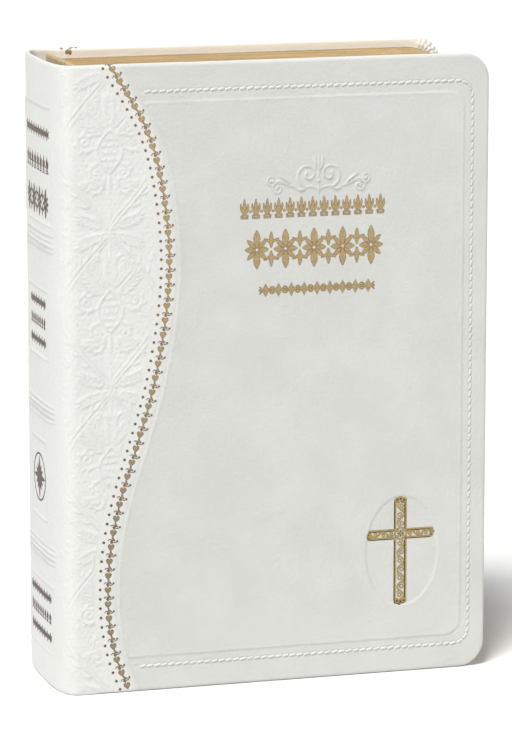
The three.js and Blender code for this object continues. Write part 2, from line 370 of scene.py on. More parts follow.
def damask_motif(relief, middle):
    """One repeat of the scrollwork, mirrored about its upright axis."""
    half = DAMASK_PERIOD / 2
    t = np.linspace(0, 1, 60)
    bow = np.sin(math.pi * t) ** FRAME_POINT
    for flip in (1, -1):
        draw = Ornament(relief, (DAMASK_AXIS, middle), flip, DAMASK_HEIGHT)
        draw.line(np.stack([FRAME_BOW * bow, (2 * t - 1) * half], 1), 0.85)
        draw.line(np.stack([INNER_BOW * bow, (2 * t - 1) * half * 0.94], 1), 0.7, 0.8)
        for at in np.linspace(0.08, 0.92, FRAME_LEAVES):
            angle = math.atan2(2 * half, FRAME_BOW * math.pi * math.cos(math.pi * at))
            origin = (FRAME_BOW * math.sin(math.pi * at) ** FRAME_POINT, (2 * at - 1) * half)
            draw.leaf(origin, angle - 0.9, 3.6, 0.35, 0.8)
        draw.line(np.stack([CONE_HALF * np.sin(math.pi * t), CONE_FOOT + CONE_LENGTH * t], 1), 0.8)
        for row in range(5):
            for column in range(2):
                x, y = SCALE_HALF * (2 * column + row % 2), SCALE_START + SCALE_PITCH * row
                turn = math.pi * t[::6]
                draw.line(np.stack([x + SCALE_HALF * np.cos(turn), y - 0.9 * np.sin(turn)], 1), 0.5, 0.8)
        for spray in DAMASK_SPRAYS:
            draw.spray(*spray)
        for scroll in DAMASK_SCROLLS:
            draw.scroll(*scroll)
        for sign in (1, -1):
            draw.rosette((18.6, sign * half), 8, 4.6)
    draw.spray((0, 7.4), UP, 12.0, 0, 5, 1.0)
    draw.leaf((0, -7.6), -UP, 7.0, 0, 1.3)
    for sign in (1, -1):
        draw.rosette((0, sign * half), 8, 2.6, 0.8)
        draw.line([(0, sign * (half - 2.6)), (0, sign * (half - 7.5))], (0.5, 0.9, 0.4))


def sow_seeds(relief, middle):
    """Seeds on a staggered grid over one repeat, wherever the ground is still clear."""
    reach = int(SEED_CLEARANCE / CELL)
    raised = relief.map > 0
    rows = int(DAMASK_PERIOD / SEED_ROW_PITCH)
    for k in range(rows):
        z = middle - DAMASK_PERIOD / 2 + (k + 0.5) * DAMASK_PERIOD / rows
        for u in np.arange(MAP_U0 + 1 + SEED_PITCH / 2 * (k % 2), SEED_REACH, SEED_PITCH):
            i, j = int((u - MAP_U0) / CELL), int(z / CELL)
            if u > DAMASK_FADE[0] and not raised[j - reach:j + reach + 1, i - reach:i + reach + 1].any():
                relief.stroke([(u, z), (u + 0.1, z)], SEED_WIDTH, SEED_HEIGHT)


def draw_damask(relief):
    """Repeats one tile of the scrollwork up the band, and clears it away from the border and the spine."""
    rows = int(round(DAMASK_PERIOD / CELL))
    tile = Relief(3 * DAMASK_PERIOD)
    for k in (0.5, 1.5, 2.5):
        damask_motif(tile, k * DAMASK_PERIOD)
    sow_seeds(tile, 1.5 * DAMASK_PERIOD)
    height = relief.map.shape[0]
    repeats = np.tile(tile.map[rows:2 * rows], (height // rows + 2, 1))
    start = int(DAMASK_PHASE / CELL)
    relief.map = np.maximum(relief.map, repeats[start:start + height])
    u, z = relief.grid()
    relief.map *= smooth(border_u(z) - DAMASK_MARGIN - u, 0, 1.2) * smooth(u, *DAMASK_FADE)


def rounded_frame(right, low, high, radius, samples=14):
    """Points from the head at the spine crease, round the fore-edge, to the tail at the spine crease."""
    head = circle((right - radius, high - radius), radius, np.linspace(UP, 0, samples))
    tail = np.stack([head[::-1, 0], low + high - head[::-1, 1]], 1)
    return np.vstack([[(0, high)], head, tail, [(0, low)]])


# The line of stitches, as slanted dashes in a shallow groove
STITCH = dict(right=69.0 - SPINE_CREASE, low=8.7, high=202.8, radius=5.2)
STITCH_SAMPLE = 0.05
STITCH_PITCH = 2.5
STITCH_DASH = 1.75
STITCH_SLANT = 0.5
STITCH_WIDTH = 0.44
STITCH_RISE = 0.36
STITCH_FLARE = 0.38
GROOVE_HALF, GROOVE_DEPTH = 0.8, 0.14
# The plain panel inside the stitches stands a little proud, with a soft lip along its edge
PANEL = dict(right=66.0 - SPINE_CREASE, low=11.9, high=199.3, radius=5.5)
PANEL_RISE, PANEL_STEP = 0.2, 0.7
LIP_RISE, LIP_HALF = 0.07, 0.7


def frame_distance(u, z, right, low, high, radius):
    """Distance outside a rounded frame that is open on its left; negative inside."""
    dz = np.abs(z - (low + high) / 2) - (high - low) / 2 + radius
    du = u - right + radius
    return np.hypot(np.maximum(du, 0), np.maximum(dz, 0)) + np.minimum(np.maximum(du, dz), 0) - radius


def frame_height(u, z):
    """Heights of the groove for the stitches and of the raised panel, right of the border."""
    beside = u - border_u(z) - SHADOW_LINE
    from_stitches = np.abs(frame_distance(u, z, **STITCH))
    groove = GROOVE_DEPTH * (1 - smooth(from_stitches, 0.3 * GROOVE_HALF, GROOVE_HALF))
    inside = np.minimum(-frame_distance(u, z, **PANEL), beside)
    lip = LIP_RISE * np.clip(1 - ((inside - PANEL_STEP / 2) / LIP_HALF) ** 2, 0, 1)
    step = PANEL_RISE * smooth(inside, -PANEL_STEP / 2, PANEL_STEP / 2)
    return step + lip - groove * smooth(beside, 0.8, 1.6)


def stitch_dashes():
    """The line of stitches as short pieces that all lean up to the right, from border round to border."""
    line = resample(rounded_frame(**STITCH), STITCH_SAMPLE)
    along = np.gradient(line, axis=0) / STITCH_SAMPLE
    lean = STITCH_SLANT * (along[:, :1] ** 2 - along[:, 1:] ** 2) * np.stack([-along[:, 1], along[:, 0]], 1)
    length = np.arange(len(line)) * STITCH_SAMPLE
    dashes = []
    for k in range(int(length[-1] / STITCH_PITCH)):
        part = (length - k * STITCH_PITCH) / STITCH_DASH
        chosen = (part >= 0) & (part < 1)
        dash = line[chosen] + lean[chosen] * (part[chosen] - 0.5)[:, None]
        if (dash[:, 0] > border_u(dash[:, 1]) + SHADOW_LINE + 1.0).all():
            dashes.append(dash)
    return dashes


def draw_shadow_line(relief):
    """The thin embossed line that keeps beside the border."""
    line = np.stack([BORDER[:, 0] + SHADOW_LINE, BORDER[:, 1]], 1)
    relief.stroke(line[(line[:, 1] > 0) & (line[:, 1] < HEIGHT)], SHADOW_WIDTH, SHADOW_HEIGHT)


# The blank ornament over the gold rows, about its own middle
CREST = (15.0 - SPINE_CREASE, 173.6)
CREST_HALF = (19.0, 7.0)
CREST_HEIGHT = 0.48


CREST_THIN, CREST_THICK = (0.45, 0.7, 0.7, 0.5, 1.0), (0.5, 0.8, 0.85, 0.6, 1.2)
CREST_FROND = 0.8 * LEAF_WIDTHS
# Strokes on both sides of its axis: line, turn, origin and widths; then those on the axis
CREST_STROKES = (
    (curl(4.4, 1.3, 4.0), 0.18, (0.6, -5.4), CREST_THICK),
    (curl(2.6, 1.3, 5.6) * (1, -1), 0.42, (8.0, -4.6), CREST_THICK),
    (curl(1.9, 1.25, 3.0), -0.25, (13.0, -3.0), CREST_THIN),
    (leaf_line(5.4, -0.35), 1.0, (9.4, -4.0), CREST_FROND),
    (leaf_line(3.6, 0.3), -0.35, (4.2, -5.0), CREST_FROND),
    (leaf_line(5.0, 0.35), 1.1, (0.5, 1.0), CREST_FROND))
CREST_STEM = (
    (((0, -1.5), (0, 6.2)), (0.4, 0.9, 1.1, 0.3)),
    (((0, -6.8), (0, -3.8)), (0.3, 0.9, 0.3)),
    (((0, -2.6), (0.05, -2.6)), 1.2))


def draw_crest(relief):
    for flip in (1, -1):
        draw = Ornament(relief, CREST, flip, CREST_HEIGHT)
        for line, angle, origin, widths in CREST_STROKES:
            draw.line(turned(line, angle, origin), widths)
    for line, widths in CREST_STEM:
        draw.line(line, widths)


# The cross's middle, and the oval round it, whose ground is pressed a little below the panel
CROSS = (44.6 - SPINE_CREASE, 48.5)
OVAL = dict(centre=(44.9 - SPINE_CREASE, 42.5), half_u=12.8, half_z=19.0)
OVAL_DROP, OVAL_STEP = 0.3, 0.02

# Across the spine: groups of fine lines, and between them framed panels, each from, to and how near the
# crease
SPINE_BANDS = (151.9, 94.3, 45.7)
SPINE_BAND_LINES, SPINE_BAND_PITCH, SPINE_BAND_START = 4, 1.8, -12.0
SPINE_BAND_WIDTHS, SPINE_BAND_HEIGHT = (0.5, 0.85, 0.85, 0.85), 0.4
SPINE_PANELS = ((157.8, 197.0, -13.0), (112.0, 135.2, -17.5), (56.5, 83.5, -21.0), (11.5, 35.0, -14.5))
SPINE_PANEL_DROP, SPINE_PANEL_STEP = 0.12, 0.5
SPINE_FRAME_WIDTH, SPINE_FRAME_HEIGHT = 0.8, 0.24


def draw_spine(relief):
    """Heights on the spine; below the plain face inside the panels."""
    middle = -ARC / 2 - 1
    u, z = relief.grid()
    for low, high, edge in SPINE_PANELS:
        inside = SPINE_PANEL_DROP
        for margin in (edge - u, z - low, high - z):
            inside = inside * smooth(margin, 0, SPINE_PANEL_STEP)
        relief.map -= inside
        frame_line = [(middle, high), (edge, high), (edge, low), (middle, low)]
        relief.stroke(frame_line, SPINE_FRAME_WIDTH, SPINE_FRAME_HEIGHT)
    for level in SPINE_BANDS:
        for k in range(SPINE_BAND_LINES):
            at = level + (k - (SPINE_BAND_LINES - 1) / 2) * SPINE_BAND_PITCH
            relief.stroke([(SPINE_BAND_START, at), (middle, at)], SPINE_BAND_WIDTHS, SPINE_BAND_HEIGHT)


def draw_oval(relief):
    u, z = relief.grid()
    away = np.hypot((u - OVAL["centre"][0]) / OVAL["half_u"], (z - OVAL["centre"][1]) / OVAL["half_z"])
    relief.map -= OVAL_DROP * (1 - smooth(away, 1 - OVAL_STEP, 1 + OVAL_STEP))


def lattice(scale, seed, size=512):
    """A smooth random field between -1 and 1, whose swells are about scale across."""
    grid = np.random.default_rng(seed).uniform(-1, 1, (size, size))

    def value(u, z):
        x, y = np.asarray(u) / scale + 97.3, np.asarray(z) / scale + 41.7
        a, b = np.floor(x).astype(int), np.floor(y).astype(int)
        return blended(lambda i, j: grid[(b + j) % size, (a + i) % size], smooth(x - a), smooth(y - b))
    return value


# The leather's unevenness: fields by swell size and seed, and the height of what is made of each
COARSE, MEDIUM, FINE = lattice(9.0, 11), lattice(3.4, 12), lattice(1.15, 13)
SWELL_HEIGHT, WRINKLE_DEPTH, PEBBLE_HEIGHT = 0.05, 0.04, 0.022
WRINKLE_SHARPNESS = 9
# Relief fades over these distances from the head or tail, and from the fore-edge; this share of the
# unevenness stays
END_FADE, FORE_FADE = (0.6, 2.2), (0.6, 2.4)
EDGE_GRAIN = 0.35


def hide_surface(u, z):
    """The leather's own unevenness: soft swells, thin wrinkles and pebbles."""
    turned_u, turned_z = u * 0.8 + z * 0.6, z * 0.8 - u * 0.6
    wrinkle = (1 - np.abs(MEDIUM(turned_u, turned_z * 0.6))) ** WRINKLE_SHARPNESS
    return SWELL_HEIGHT * COARSE(u, z) - WRINKLE_DEPTH * wrinkle + PEBBLE_HEIGHT * FINE(u, z)


def build_reliefs():
    """The back is the front without its crest and oval."""
    front, back = Relief(HEIGHT), Relief(HEIGHT)
    for draw in (draw_damask, draw_shadow_line, draw_spine):
        draw(front)
    back.map = front.map.copy()
    draw_crest(front)
    draw_oval(front)
    return {FRONT: front, BACK: back}


RELIEFS = build_reliefs()


def surface_height(u, z, side):
    """How far the leather's outer face stands off its plain shape; all relief fades at the edges."""
    u, z = np.broadcast_arrays(np.asarray(u, float), np.asarray(z, float))
    z = np.clip(z, 0, HEIGHT)
    fore_edge = FORE - SPINE_CREASE - u
    fade = smooth(z, *END_FADE) * smooth(HEIGHT - z, *END_FADE) * smooth(fore_edge, *FORE_FADE)
    emboss = RELIEFS[side].sample(u, z) + frame_height(u, z)
    return emboss * fade + hide_surface(u, z) * (EDGE_GRAIN + (1 - EDGE_GRAIN) * fade)


# The leather's tone and painted light: 0 on the panel, 1 on the band and the spine, and 2 on the turn-in. The
# band and the spine are lighter, partly a paler tone of their own and partly painted light and sheen where
# the left side catches more light; the turn-in is painted a bright cream for the warm light reflected onto it
# from the gilt edges. It changes over a stretch on the left of the thin embossed line.
TURN_IN_PAINTED_LIGHT = 2.0
TONE_AND_LIGHT_STRETCH = (-0.3, 3.4)


def band_tone_and_painted_light(u, z):
    return smooth(border_u(z) + SHADOW_LINE - u, *TONE_AND_LIGHT_STRETCH)


# ---- Materials ----

WHITE = (1.0, 1.0, 1.0)


class Nodes:
    """The nodes of a material or world, with short ways to add to them."""

    def __init__(self, owner):
        owner.use_nodes = True
        self.owner, self.nodes, self.links = owner, owner.node_tree.nodes, owner.node_tree.links

    def put(self, target, **values):
        """Sets a node's inputs and settings by name. A value that is a socket is linked."""
        for key, value in values.items():
            socket = target.inputs.get(key.replace("_", " "))
            if socket is None:
                setattr(target, key, value)
            else:
                self.join(socket, value)
        return target

    def join(self, socket, value):
        if isinstance(value, bpy.types.NodeSocket):
            self.links.new(value, socket)
        else:
            socket.default_value = value

    def add(self, kind, **values):
        return self.put(self.nodes.new("ShaderNode" + kind), **values)

    def attribute(self, name, output):
        return self.add("Attribute", attribute_name=name).outputs[output]

    def noise(self, place, scale, detail, roughness=0.5):
        made = self.add("TexNoise", Vector=place, Scale=scale, Detail=detail, Roughness=roughness)
        return made.outputs["Fac"]

    def ramp(self, value, *stops):
        made = self.add("ValToRGB", Fac=value)
        elements = made.color_ramp.elements
        for element, (position, colour) in zip(elements, (stops[0], stops[-1])):
            element.position, element.color = position, (*colour, 1)
        for position, colour in stops[1:-1]:
            elements.new(position).color = (*colour, 1)
        return made.outputs["Color"]

    def mix(self, first, second, factor=1.0, blend="MIX"):
        made = self.add("Mix", data_type="RGBA", blend_type=blend, Factor=factor)
        self.join(made.inputs[6], first)
        self.join(made.inputs[7], second)
        return made.outputs[2]

    def bumps(self, shader, *bumps):
        """Stacks bump nodes, each (height socket, strength, distance in metres), onto the shader's normal."""
        for height, strength, distance in bumps:
            bump = self.add("Bump", Height=height, Strength=strength, Distance=distance)
            for link in shader.inputs["Normal"].links:
                self.put(bump, Normal=link.from_socket)
            self.put(shader, Normal=bump.outputs["Normal"])


def new_material(name):
    """A material's nodes, its shader, and the unrolled place in millimetres, which stays with the surface."""
    tree = Nodes(bpy.data.materials.new(name))
    return tree, tree.nodes["Principled BSDF"], tree.attribute("rest", "Vector")


def leather_material():
    tree, shader, rest = new_material("white_leather")
    pebbles = tree.add("TexVoronoi", Vector=rest, feature="SMOOTH_F1", Scale=1.15, Smoothness=0.6)
    pores = tree.noise(rest, 2.6, 6.0, 0.62)
    clouds = tree.noise(rest, 0.05, 4.0, 0.55)
    tone_and_painted_light = tree.attribute("tone_and_painted_light", "Fac")
    panel = tree.ramp(clouds, (0.3, (0.605, 0.61, 0.577)), (0.7, (0.648, 0.653, 0.62)))
    # The band and spine colour is lighter than the panel's: partly a paler tone of their own, partly painted
    # light and sheen where the left side catches more light
    band = tree.ramp(clouds, (0.3, (0.72, 0.725, 0.692)), (0.7, (0.75, 0.755, 0.72)))
    # Painted light: the turn-in's bright cream stands for the warm light reflected onto it from the gilt
    # edges
    painted_turn_in_glow = (0.93, 0.905, 0.84, 1)
    beyond = tree.add("Math", operation="SUBTRACT", Value=tone_and_painted_light)
    beyond.inputs[1].default_value = 1.0
    colour = tree.mix(tree.mix(panel, band, tone_and_painted_light), painted_turn_in_glow, beyond.outputs["Value"])
    gloss = tree.add("MapRange", Value=pores, To_Min=0.42, To_Max=0.58)
    tree.put(shader, Base_Color=colour, Roughness=gloss.outputs["Result"], Specular_IOR_Level=0.45,
             Subsurface_Weight=0.06, Subsurface_Radius=(1.0, 0.9, 0.8), Subsurface_Scale=0.0008)
    tree.bumps(shader, (pebbles.outputs["Distance"], 0.32, 0.00025), (pores, 0.25, 0.00012))
    return tree.owner


# Painted shade on foil: darker towards the tail, for the darker surroundings that it reflects there. The
# heights between which it darkens, and how much colour it keeps below them
FOIL_SHADE_LOW, FOIL_SHADE_HIGH = 55.0, 150.0
FOIL_SHADE_KEEPS = (0.66, 0.70, 0.74)


def foil_material(name, bright, dark, roughness):
    tree, shader, rest = new_material(name)
    wear = tree.noise(rest, 1.4, 5.0, 0.7)
    level = tree.add("SeparateXYZ", Vector=rest).outputs["Y"]
    height = tree.add("MapRange", Value=level, From_Min=FOIL_SHADE_LOW, From_Max=FOIL_SHADE_HIGH).outputs["Result"]
    # Painted shade: the foil's colour darkens towards the tail
    painted_foil_shade = tree.ramp(height, (0.0, FOIL_SHADE_KEEPS), (1.0, WHITE))
    colour = tree.mix(tree.ramp(wear, (0.28, dark), (0.62, bright)), painted_foil_shade, blend="MULTIPLY")
    tree.put(shader, Base_Color=colour, Metallic=0.55, Roughness=roughness)
    tree.bumps(shader, (wear, 0.15, 0.0001))
    return tree.owner


def gilt_material():
    """Gilded leaf edges: fine streaks that follow the leaves, so they vary only across the thickness."""
    tree, shader, rest = new_material("gilt_edges")
    squeezed = tree.add("Mapping", Vector=rest, Scale=(0.02, 6.0, 0.02)).outputs["Vector"]
    leaves = tree.noise(squeezed, 1.0, 5.0, 0.75)
    streaks = tree.ramp(leaves, (0.3, (0.35, 0.20, 0.066)), (0.5, (0.555, 0.36, 0.132)),
                        (0.72, (0.70, 0.50, 0.225)))
    tint = tree.ramp(tree.noise(rest, 0.06, 3.0), (0.3, (0.86, 0.84, 0.8)), (0.7, WHITE))
    tree.put(shader, Base_Color=tree.mix(streaks, tint, blend="MULTIPLY"), Metallic=0.6, Roughness=0.4)
    tree.bumps(shader, (leaves, 0.5, 0.00012))
    return tree.owner


def fibre_material(name, low, high, scale, roughness, bump, stretch=(1, 1, 1)):
    """Paper and board: a fibrous noise in colour and height, coarser where stretch is below 1."""
    tree, shader, rest = new_material(name)
    stretched = tree.add("Mapping", Vector=rest, Scale=stretch).outputs["Vector"]
    fibres = tree.noise(stretched, scale, 7.0, 0.65)
    tree.put(shader, Base_Color=tree.ramp(fibres, (0.3, low), (0.7, high)), Roughness=roughness)
    tree.bumps(shader, (fibres, bump, 0.0001))
    return tree.owner


def woven_material(name, warp, weft, pitch):
    """Cloth with threads across Y, as on a head band or an open spine lining."""
    tree, shader, rest = new_material(name)
    over, under = (tree.add("TexWave", Vector=rest, wave_type="BANDS", bands_direction=axis,
                            Scale=1 / pitch, Distortion=0.4).outputs["Fac"] for axis in "YZ")
    tree.put(shader, Base_Color=tree.ramp(over, (0.35, warp), (0.65, weft)), Roughness=0.75, Sheen_Weight=0.2)
    tree.bumps(shader, (over, 0.6, 0.0002), (under, 0.3, 0.0001))
    return tree.owner


LEATHER = leather_material()
GOLD = foil_material("gold_foil", (0.51, 0.39, 0.205), (0.33, 0.225, 0.105), 0.38)
CROSS_GOLD = foil_material("cross_gold_foil", (0.74, 0.52, 0.17), (0.48, 0.32, 0.09), 0.36)
BRONZE = foil_material("bronze_foil", (0.30, 0.19, 0.10), (0.16, 0.09, 0.05), 0.45)
DARK_FOIL = foil_material("dark_foil", (0.16, 0.10, 0.075), (0.06, 0.035, 0.025), 0.45)
GILT = gilt_material()
PAPER = fibre_material("page_paper", (0.80, 0.78, 0.71), (0.87, 0.85, 0.79), 1.2, 0.85, 0.12)
ENDPAPER = fibre_material("endpaper", (0.83, 0.81, 0.74), (0.90, 0.885, 0.83), 0.9, 0.8, 0.15)
BOARD = fibre_material("grey_board", (0.30, 0.27, 0.23), (0.42, 0.39, 0.34), 2.0, 0.9, 0.3, (0.4, 1, 1))
KRAFT = fibre_material("kraft_card", (0.36, 0.20, 0.09), (0.50, 0.30, 0.15), 1.6, 0.85, 0.25, (1, 1, 0.3))
MULL = woven_material("lining_cloth", (0.55, 0.45, 0.30), (0.78, 0.70, 0.55), 0.8)
BAND = woven_material("band_cloth", (0.42, 0.25, 0.08), (0.80, 0.68, 0.42), 1.1)


# ---- Meshes ----

def store(mesh, name, values, kind="FLOAT", field="value"):
    mesh.attributes.new(name, kind, "POINT").data.foreach_set(field, np.asarray(values, np.float32).ravel())


def make_piece(name, points_mm, faces, rest, materials, tone_and_painted_light=None, smooth_faces=True, face_material=None):
    mesh = bpy.data.meshes.new(name)
    mesh.from_pydata((np.asarray(points_mm) * MM).tolist(), [], faces)
    mesh.update()
    store(mesh, "rest", rest, "FLOAT_VECTOR", "vector")
    if tone_and_painted_light is not None:
        store(mesh, "tone_and_painted_light", tone_and_painted_light)
    for material in materials:
        mesh.materials.append(material)
    mesh.polygons.foreach_set("use_smooth", [smooth_faces] * len(mesh.polygons))
    if face_material is not None:
        mesh.polygons.foreach_set("material_index", face_material)
    return in_scene(bpy.data.objects.new(name, mesh))


def in_scene(thing):
    bpy.context.scene.collection.objects.link(thing)
    return thing


def settle(piece, body=None, node_name=None):
    """Says which body a piece rides on and which CAD node it stands in for."""
    if body:
        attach(piece, body)
    if node_name:
        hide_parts(node_name)


def quads(a, b, c, d):
    return np.stack([np.ravel(corner) for corner in (a, b, c, d)], 1).tolist()


def graded(start, zones):
    """Values from start through each zone's end, evenly spaced at about that zone's step."""
    values = [np.array([start])]
    for end, step in zones:
        values.append(np.linspace(start, end, max(2, int(round((end - start) / step)) + 1))[1:])
        start = end
    return np.concatenate(values)


# How close the extra column of a mesh is to its seam, and the spacing on the bands and round the spine
SEAM_SUPPORT = 0.015
BAND_STEP, CREASE_STEP = 0.42, 0.5
BAND_ROWS = graded(EDGE, ((HEIGHT - EDGE, BAND_STEP),))
# Rows on the inside: those of the turn-in start here, and the wide ones between keep this far from its lips
TURN_IN_START, TURN_IN_ROWS = EDGE + 1.2, 4
INNER_MARGIN, INNER_ROWS = 8.0, 12
# How far down its thickness a skin still follows the relief of its face
RELIEF_DEPTH = 0.4
# Where the band skin meets the panel skin
SPLIT_U = 35.8


def with_support(columns, right=True):
    """Adds a column just inside each seam, so that the closed end leaves the face's shading alone."""
    near = [columns[-1] - SEAM_SUPPORT, columns[-1]] if right else [columns[-1]]
    return np.concatenate([[columns[0], columns[0] + SEAM_SUPPORT], columns[1:-1], near])


def wrap_profile(lip):
    """A closed line over the skin in Z: up the face, over the head edge, down inside and under the tail edge.
    Gives Z, how deep each point lies as a share of the skin's thickness, and the unrolled Z."""
    turn = np.linspace(0, math.pi, RIM_STEPS + 1)[1:]
    rim, depth, taken = EDGE * np.sin(turn), (1 - np.cos(turn)) / 2, RIM_LENGTH * turn / math.pi
    turn_in = np.linspace(TURN_IN_START, lip, TURN_IN_ROWS)
    between = np.linspace(lip + INNER_MARGIN, HEIGHT - lip - INNER_MARGIN, INNER_ROWS)
    inner = np.concatenate([turn_in, between, HEIGHT - turn_in[::-1]])[::-1]
    z = np.concatenate([BAND_ROWS, HEIGHT - EDGE + rim, inner, (EDGE - rim)[::-1]])
    share = np.concatenate([np.zeros(len(BAND_ROWS)), depth, np.ones(len(inner)), depth[::-1]])
    unrolled = np.concatenate([BAND_ROWS, HEIGHT - EDGE + taken, inner + HEIGHT, -taken[::-1]])
    return z, share, unrolled


def skin_strip(name, columns, side, lip):
    """A closed stretch of skin between two seams, wrapped over head and tail."""
    profile = wrap_profile(lip)
    columns = with_support(columns)
    z, share, unrolled = (np.repeat(line[None, :], len(columns), 0) for line in profile)
    u = np.repeat(columns[:, None], z.shape[1], 1)
    out = surface_height(u, z, side) * (1 - smooth(share, 0, RELIEF_DEPTH)) - share * skin_thickness(u)
    x, y, nx, ny = across(u)
    points = np.stack([x + nx * out, -side * (y + ny * out), z], -1).reshape(-1, 3)
    index = np.arange(u.size).reshape(u.shape)
    after = np.roll(index, -1, 1)
    ends = [index[0, ::-1].tolist(), index[-1].tolist()]
    faces = quads(index[:-1], after[:-1], after[1:], index[1:]) + ends
    rest = np.stack([u, unrolled, share * 0.4 + side * 0.01], -1)
    # The band's and spine's lighter colour, partly painted light, and the bright cream painted on the turn-in
    tone_and_painted_light = np.maximum(band_tone_and_painted_light(u, z), TURN_IN_PAINTED_LIGHT * share)
    return make_piece(name, points, outward(faces, side), rest.reshape(-1, 3), [LEATHER], tone_and_painted_light)


def outward(faces, side):
    """The back is the front mirrored, so its faces are turned round."""
    return faces if side == FRONT else [face[::-1] for face in faces]


# Spacing of the panel's mesh: fine where something is embossed, wide where the leather is plain
PLAIN_STEP, MARGIN_STEP, FORE_STEP, MOTIF_STEP, FINE_STEP = 1.2, 0.9, 0.5, 0.4, 0.3
CORNER_ROWS, CLOSEST_ROWS = 22, 0.07
# Leather gathered in pleats behind the rounded corners, how far they pull the edge in for each millimetre of
# depth, and where they start on the way round the edge
PLEATS = 7
PLEAT_DEPTH, PLEAT_PULL, PLEAT_START = 0.75, 0.4, 0.45
# Loops of the mesh over the turn-in, counted inwards from the edge's round
TURN_IN_LOOPS = (1.0, 2.0, 3.0, TURN_IN - EDGE)


def panel_columns():
    crest_left, crest_right = CREST[0] - CREST_HALF[0] - 1, CREST[0] + CREST_HALF[0]
    return graded(SPLIT_U, (
        (crest_left, PLAIN_STEP), (crest_right, FINE_STEP), (PANEL["right"] - 2, MOTIF_STEP),
        (STITCH["right"] + 1.5, FINE_STEP), (FORE - EDGE - SPINE_CREASE, FORE_STEP)))


def panel_rows():
    """Heights of the panel's rows, with those of the rounded corners spaced by angle as well."""
    oval_low, oval_high = (OVAL["centre"][1] + sign * (OVAL["half_z"] + 1.5) for sign in (-1, 1))
    crest_low, crest_high = CREST[1] - CREST_HALF[1], CREST[1] + CREST_HALF[1]
    zones = graded(EDGE, (
        (STITCH["low"] - 1.5, MARGIN_STEP), (PANEL["low"] + 2, FINE_STEP), (oval_low, PLAIN_STEP),
        (oval_high, MOTIF_STEP), (crest_low, PLAIN_STEP), (crest_high, FINE_STEP),
        (PANEL["high"] - 2, PLAIN_STEP), (STITCH["high"] + 1.5, FINE_STEP), (HEIGHT - EDGE, MARGIN_STEP)))
    corner = (CORNER - EDGE) * np.sin(np.linspace(0, UP, CORNER_ROWS))
    rows = np.unique(np.concatenate([zones, CORNER - corner, HEIGHT - CORNER + corner]))
    return rows[np.concatenate([[True], np.diff(rows) > CLOSEST_ROWS])]


def corner_outward(eu, ez):
    """The outward direction of places on the panel's outline, and how strongly the leather gathers there."""
    radius, centre_u = CORNER - EDGE, FORE - CORNER - SPINE_CREASE
    near_low, near_high = ez < CORNER, ez > HEIGHT - CORNER
    in_corner = (near_low | near_high) & (eu > centre_u)
    centre_z = np.where(near_low, CORNER, HEIGHT - CORNER)
    nu = np.where(in_corner, (eu - centre_u) / radius, np.where(near_low | near_high, 0, 1))
    nz = np.where(in_corner, (ez - centre_z) / radius, np.where(near_low, -1, np.where(near_high, 1, 0)))
    angle = np.arctan2(np.abs(nz), np.maximum(nu, 1e-9))
    gather = np.where(in_corner, np.abs(np.sin(2 * PLEATS * angle)), 0) * smooth(np.sin(2 * angle), 0, 0.35)
    return nu, nz, gather


def edge_loops(face_level, thick, gather):
    """Loops round the panel's edge and over its turn-in: how far out, how high, the unrolled distance and how
    much of the turn is done."""
    loops = []
    for k in range(1, RIM_STEPS + 1):
        part = k / RIM_STEPS
        turned_share = (1 - math.cos(math.pi * part)) / 2
        fold = PLEAT_DEPTH * gather * smooth(part, PLEAT_START, 1.0)
        level = face_level * (1 - smooth(part, 0, 0.5)) - thick * turned_share
        reach = EDGE * math.sin(math.pi * part) - PLEAT_PULL * fold
        loops.append((reach, level + fold, RIM_LENGTH * part, turned_share))
    for inset in TURN_IN_LOOPS:
        fold = PLEAT_DEPTH * gather * (1 - smooth(inset, 1.5, TURN_IN_LOOPS[-1]))
        loops.append((-inset, -thick - fold, RIM_LENGTH + inset, 1.0))
    return loops


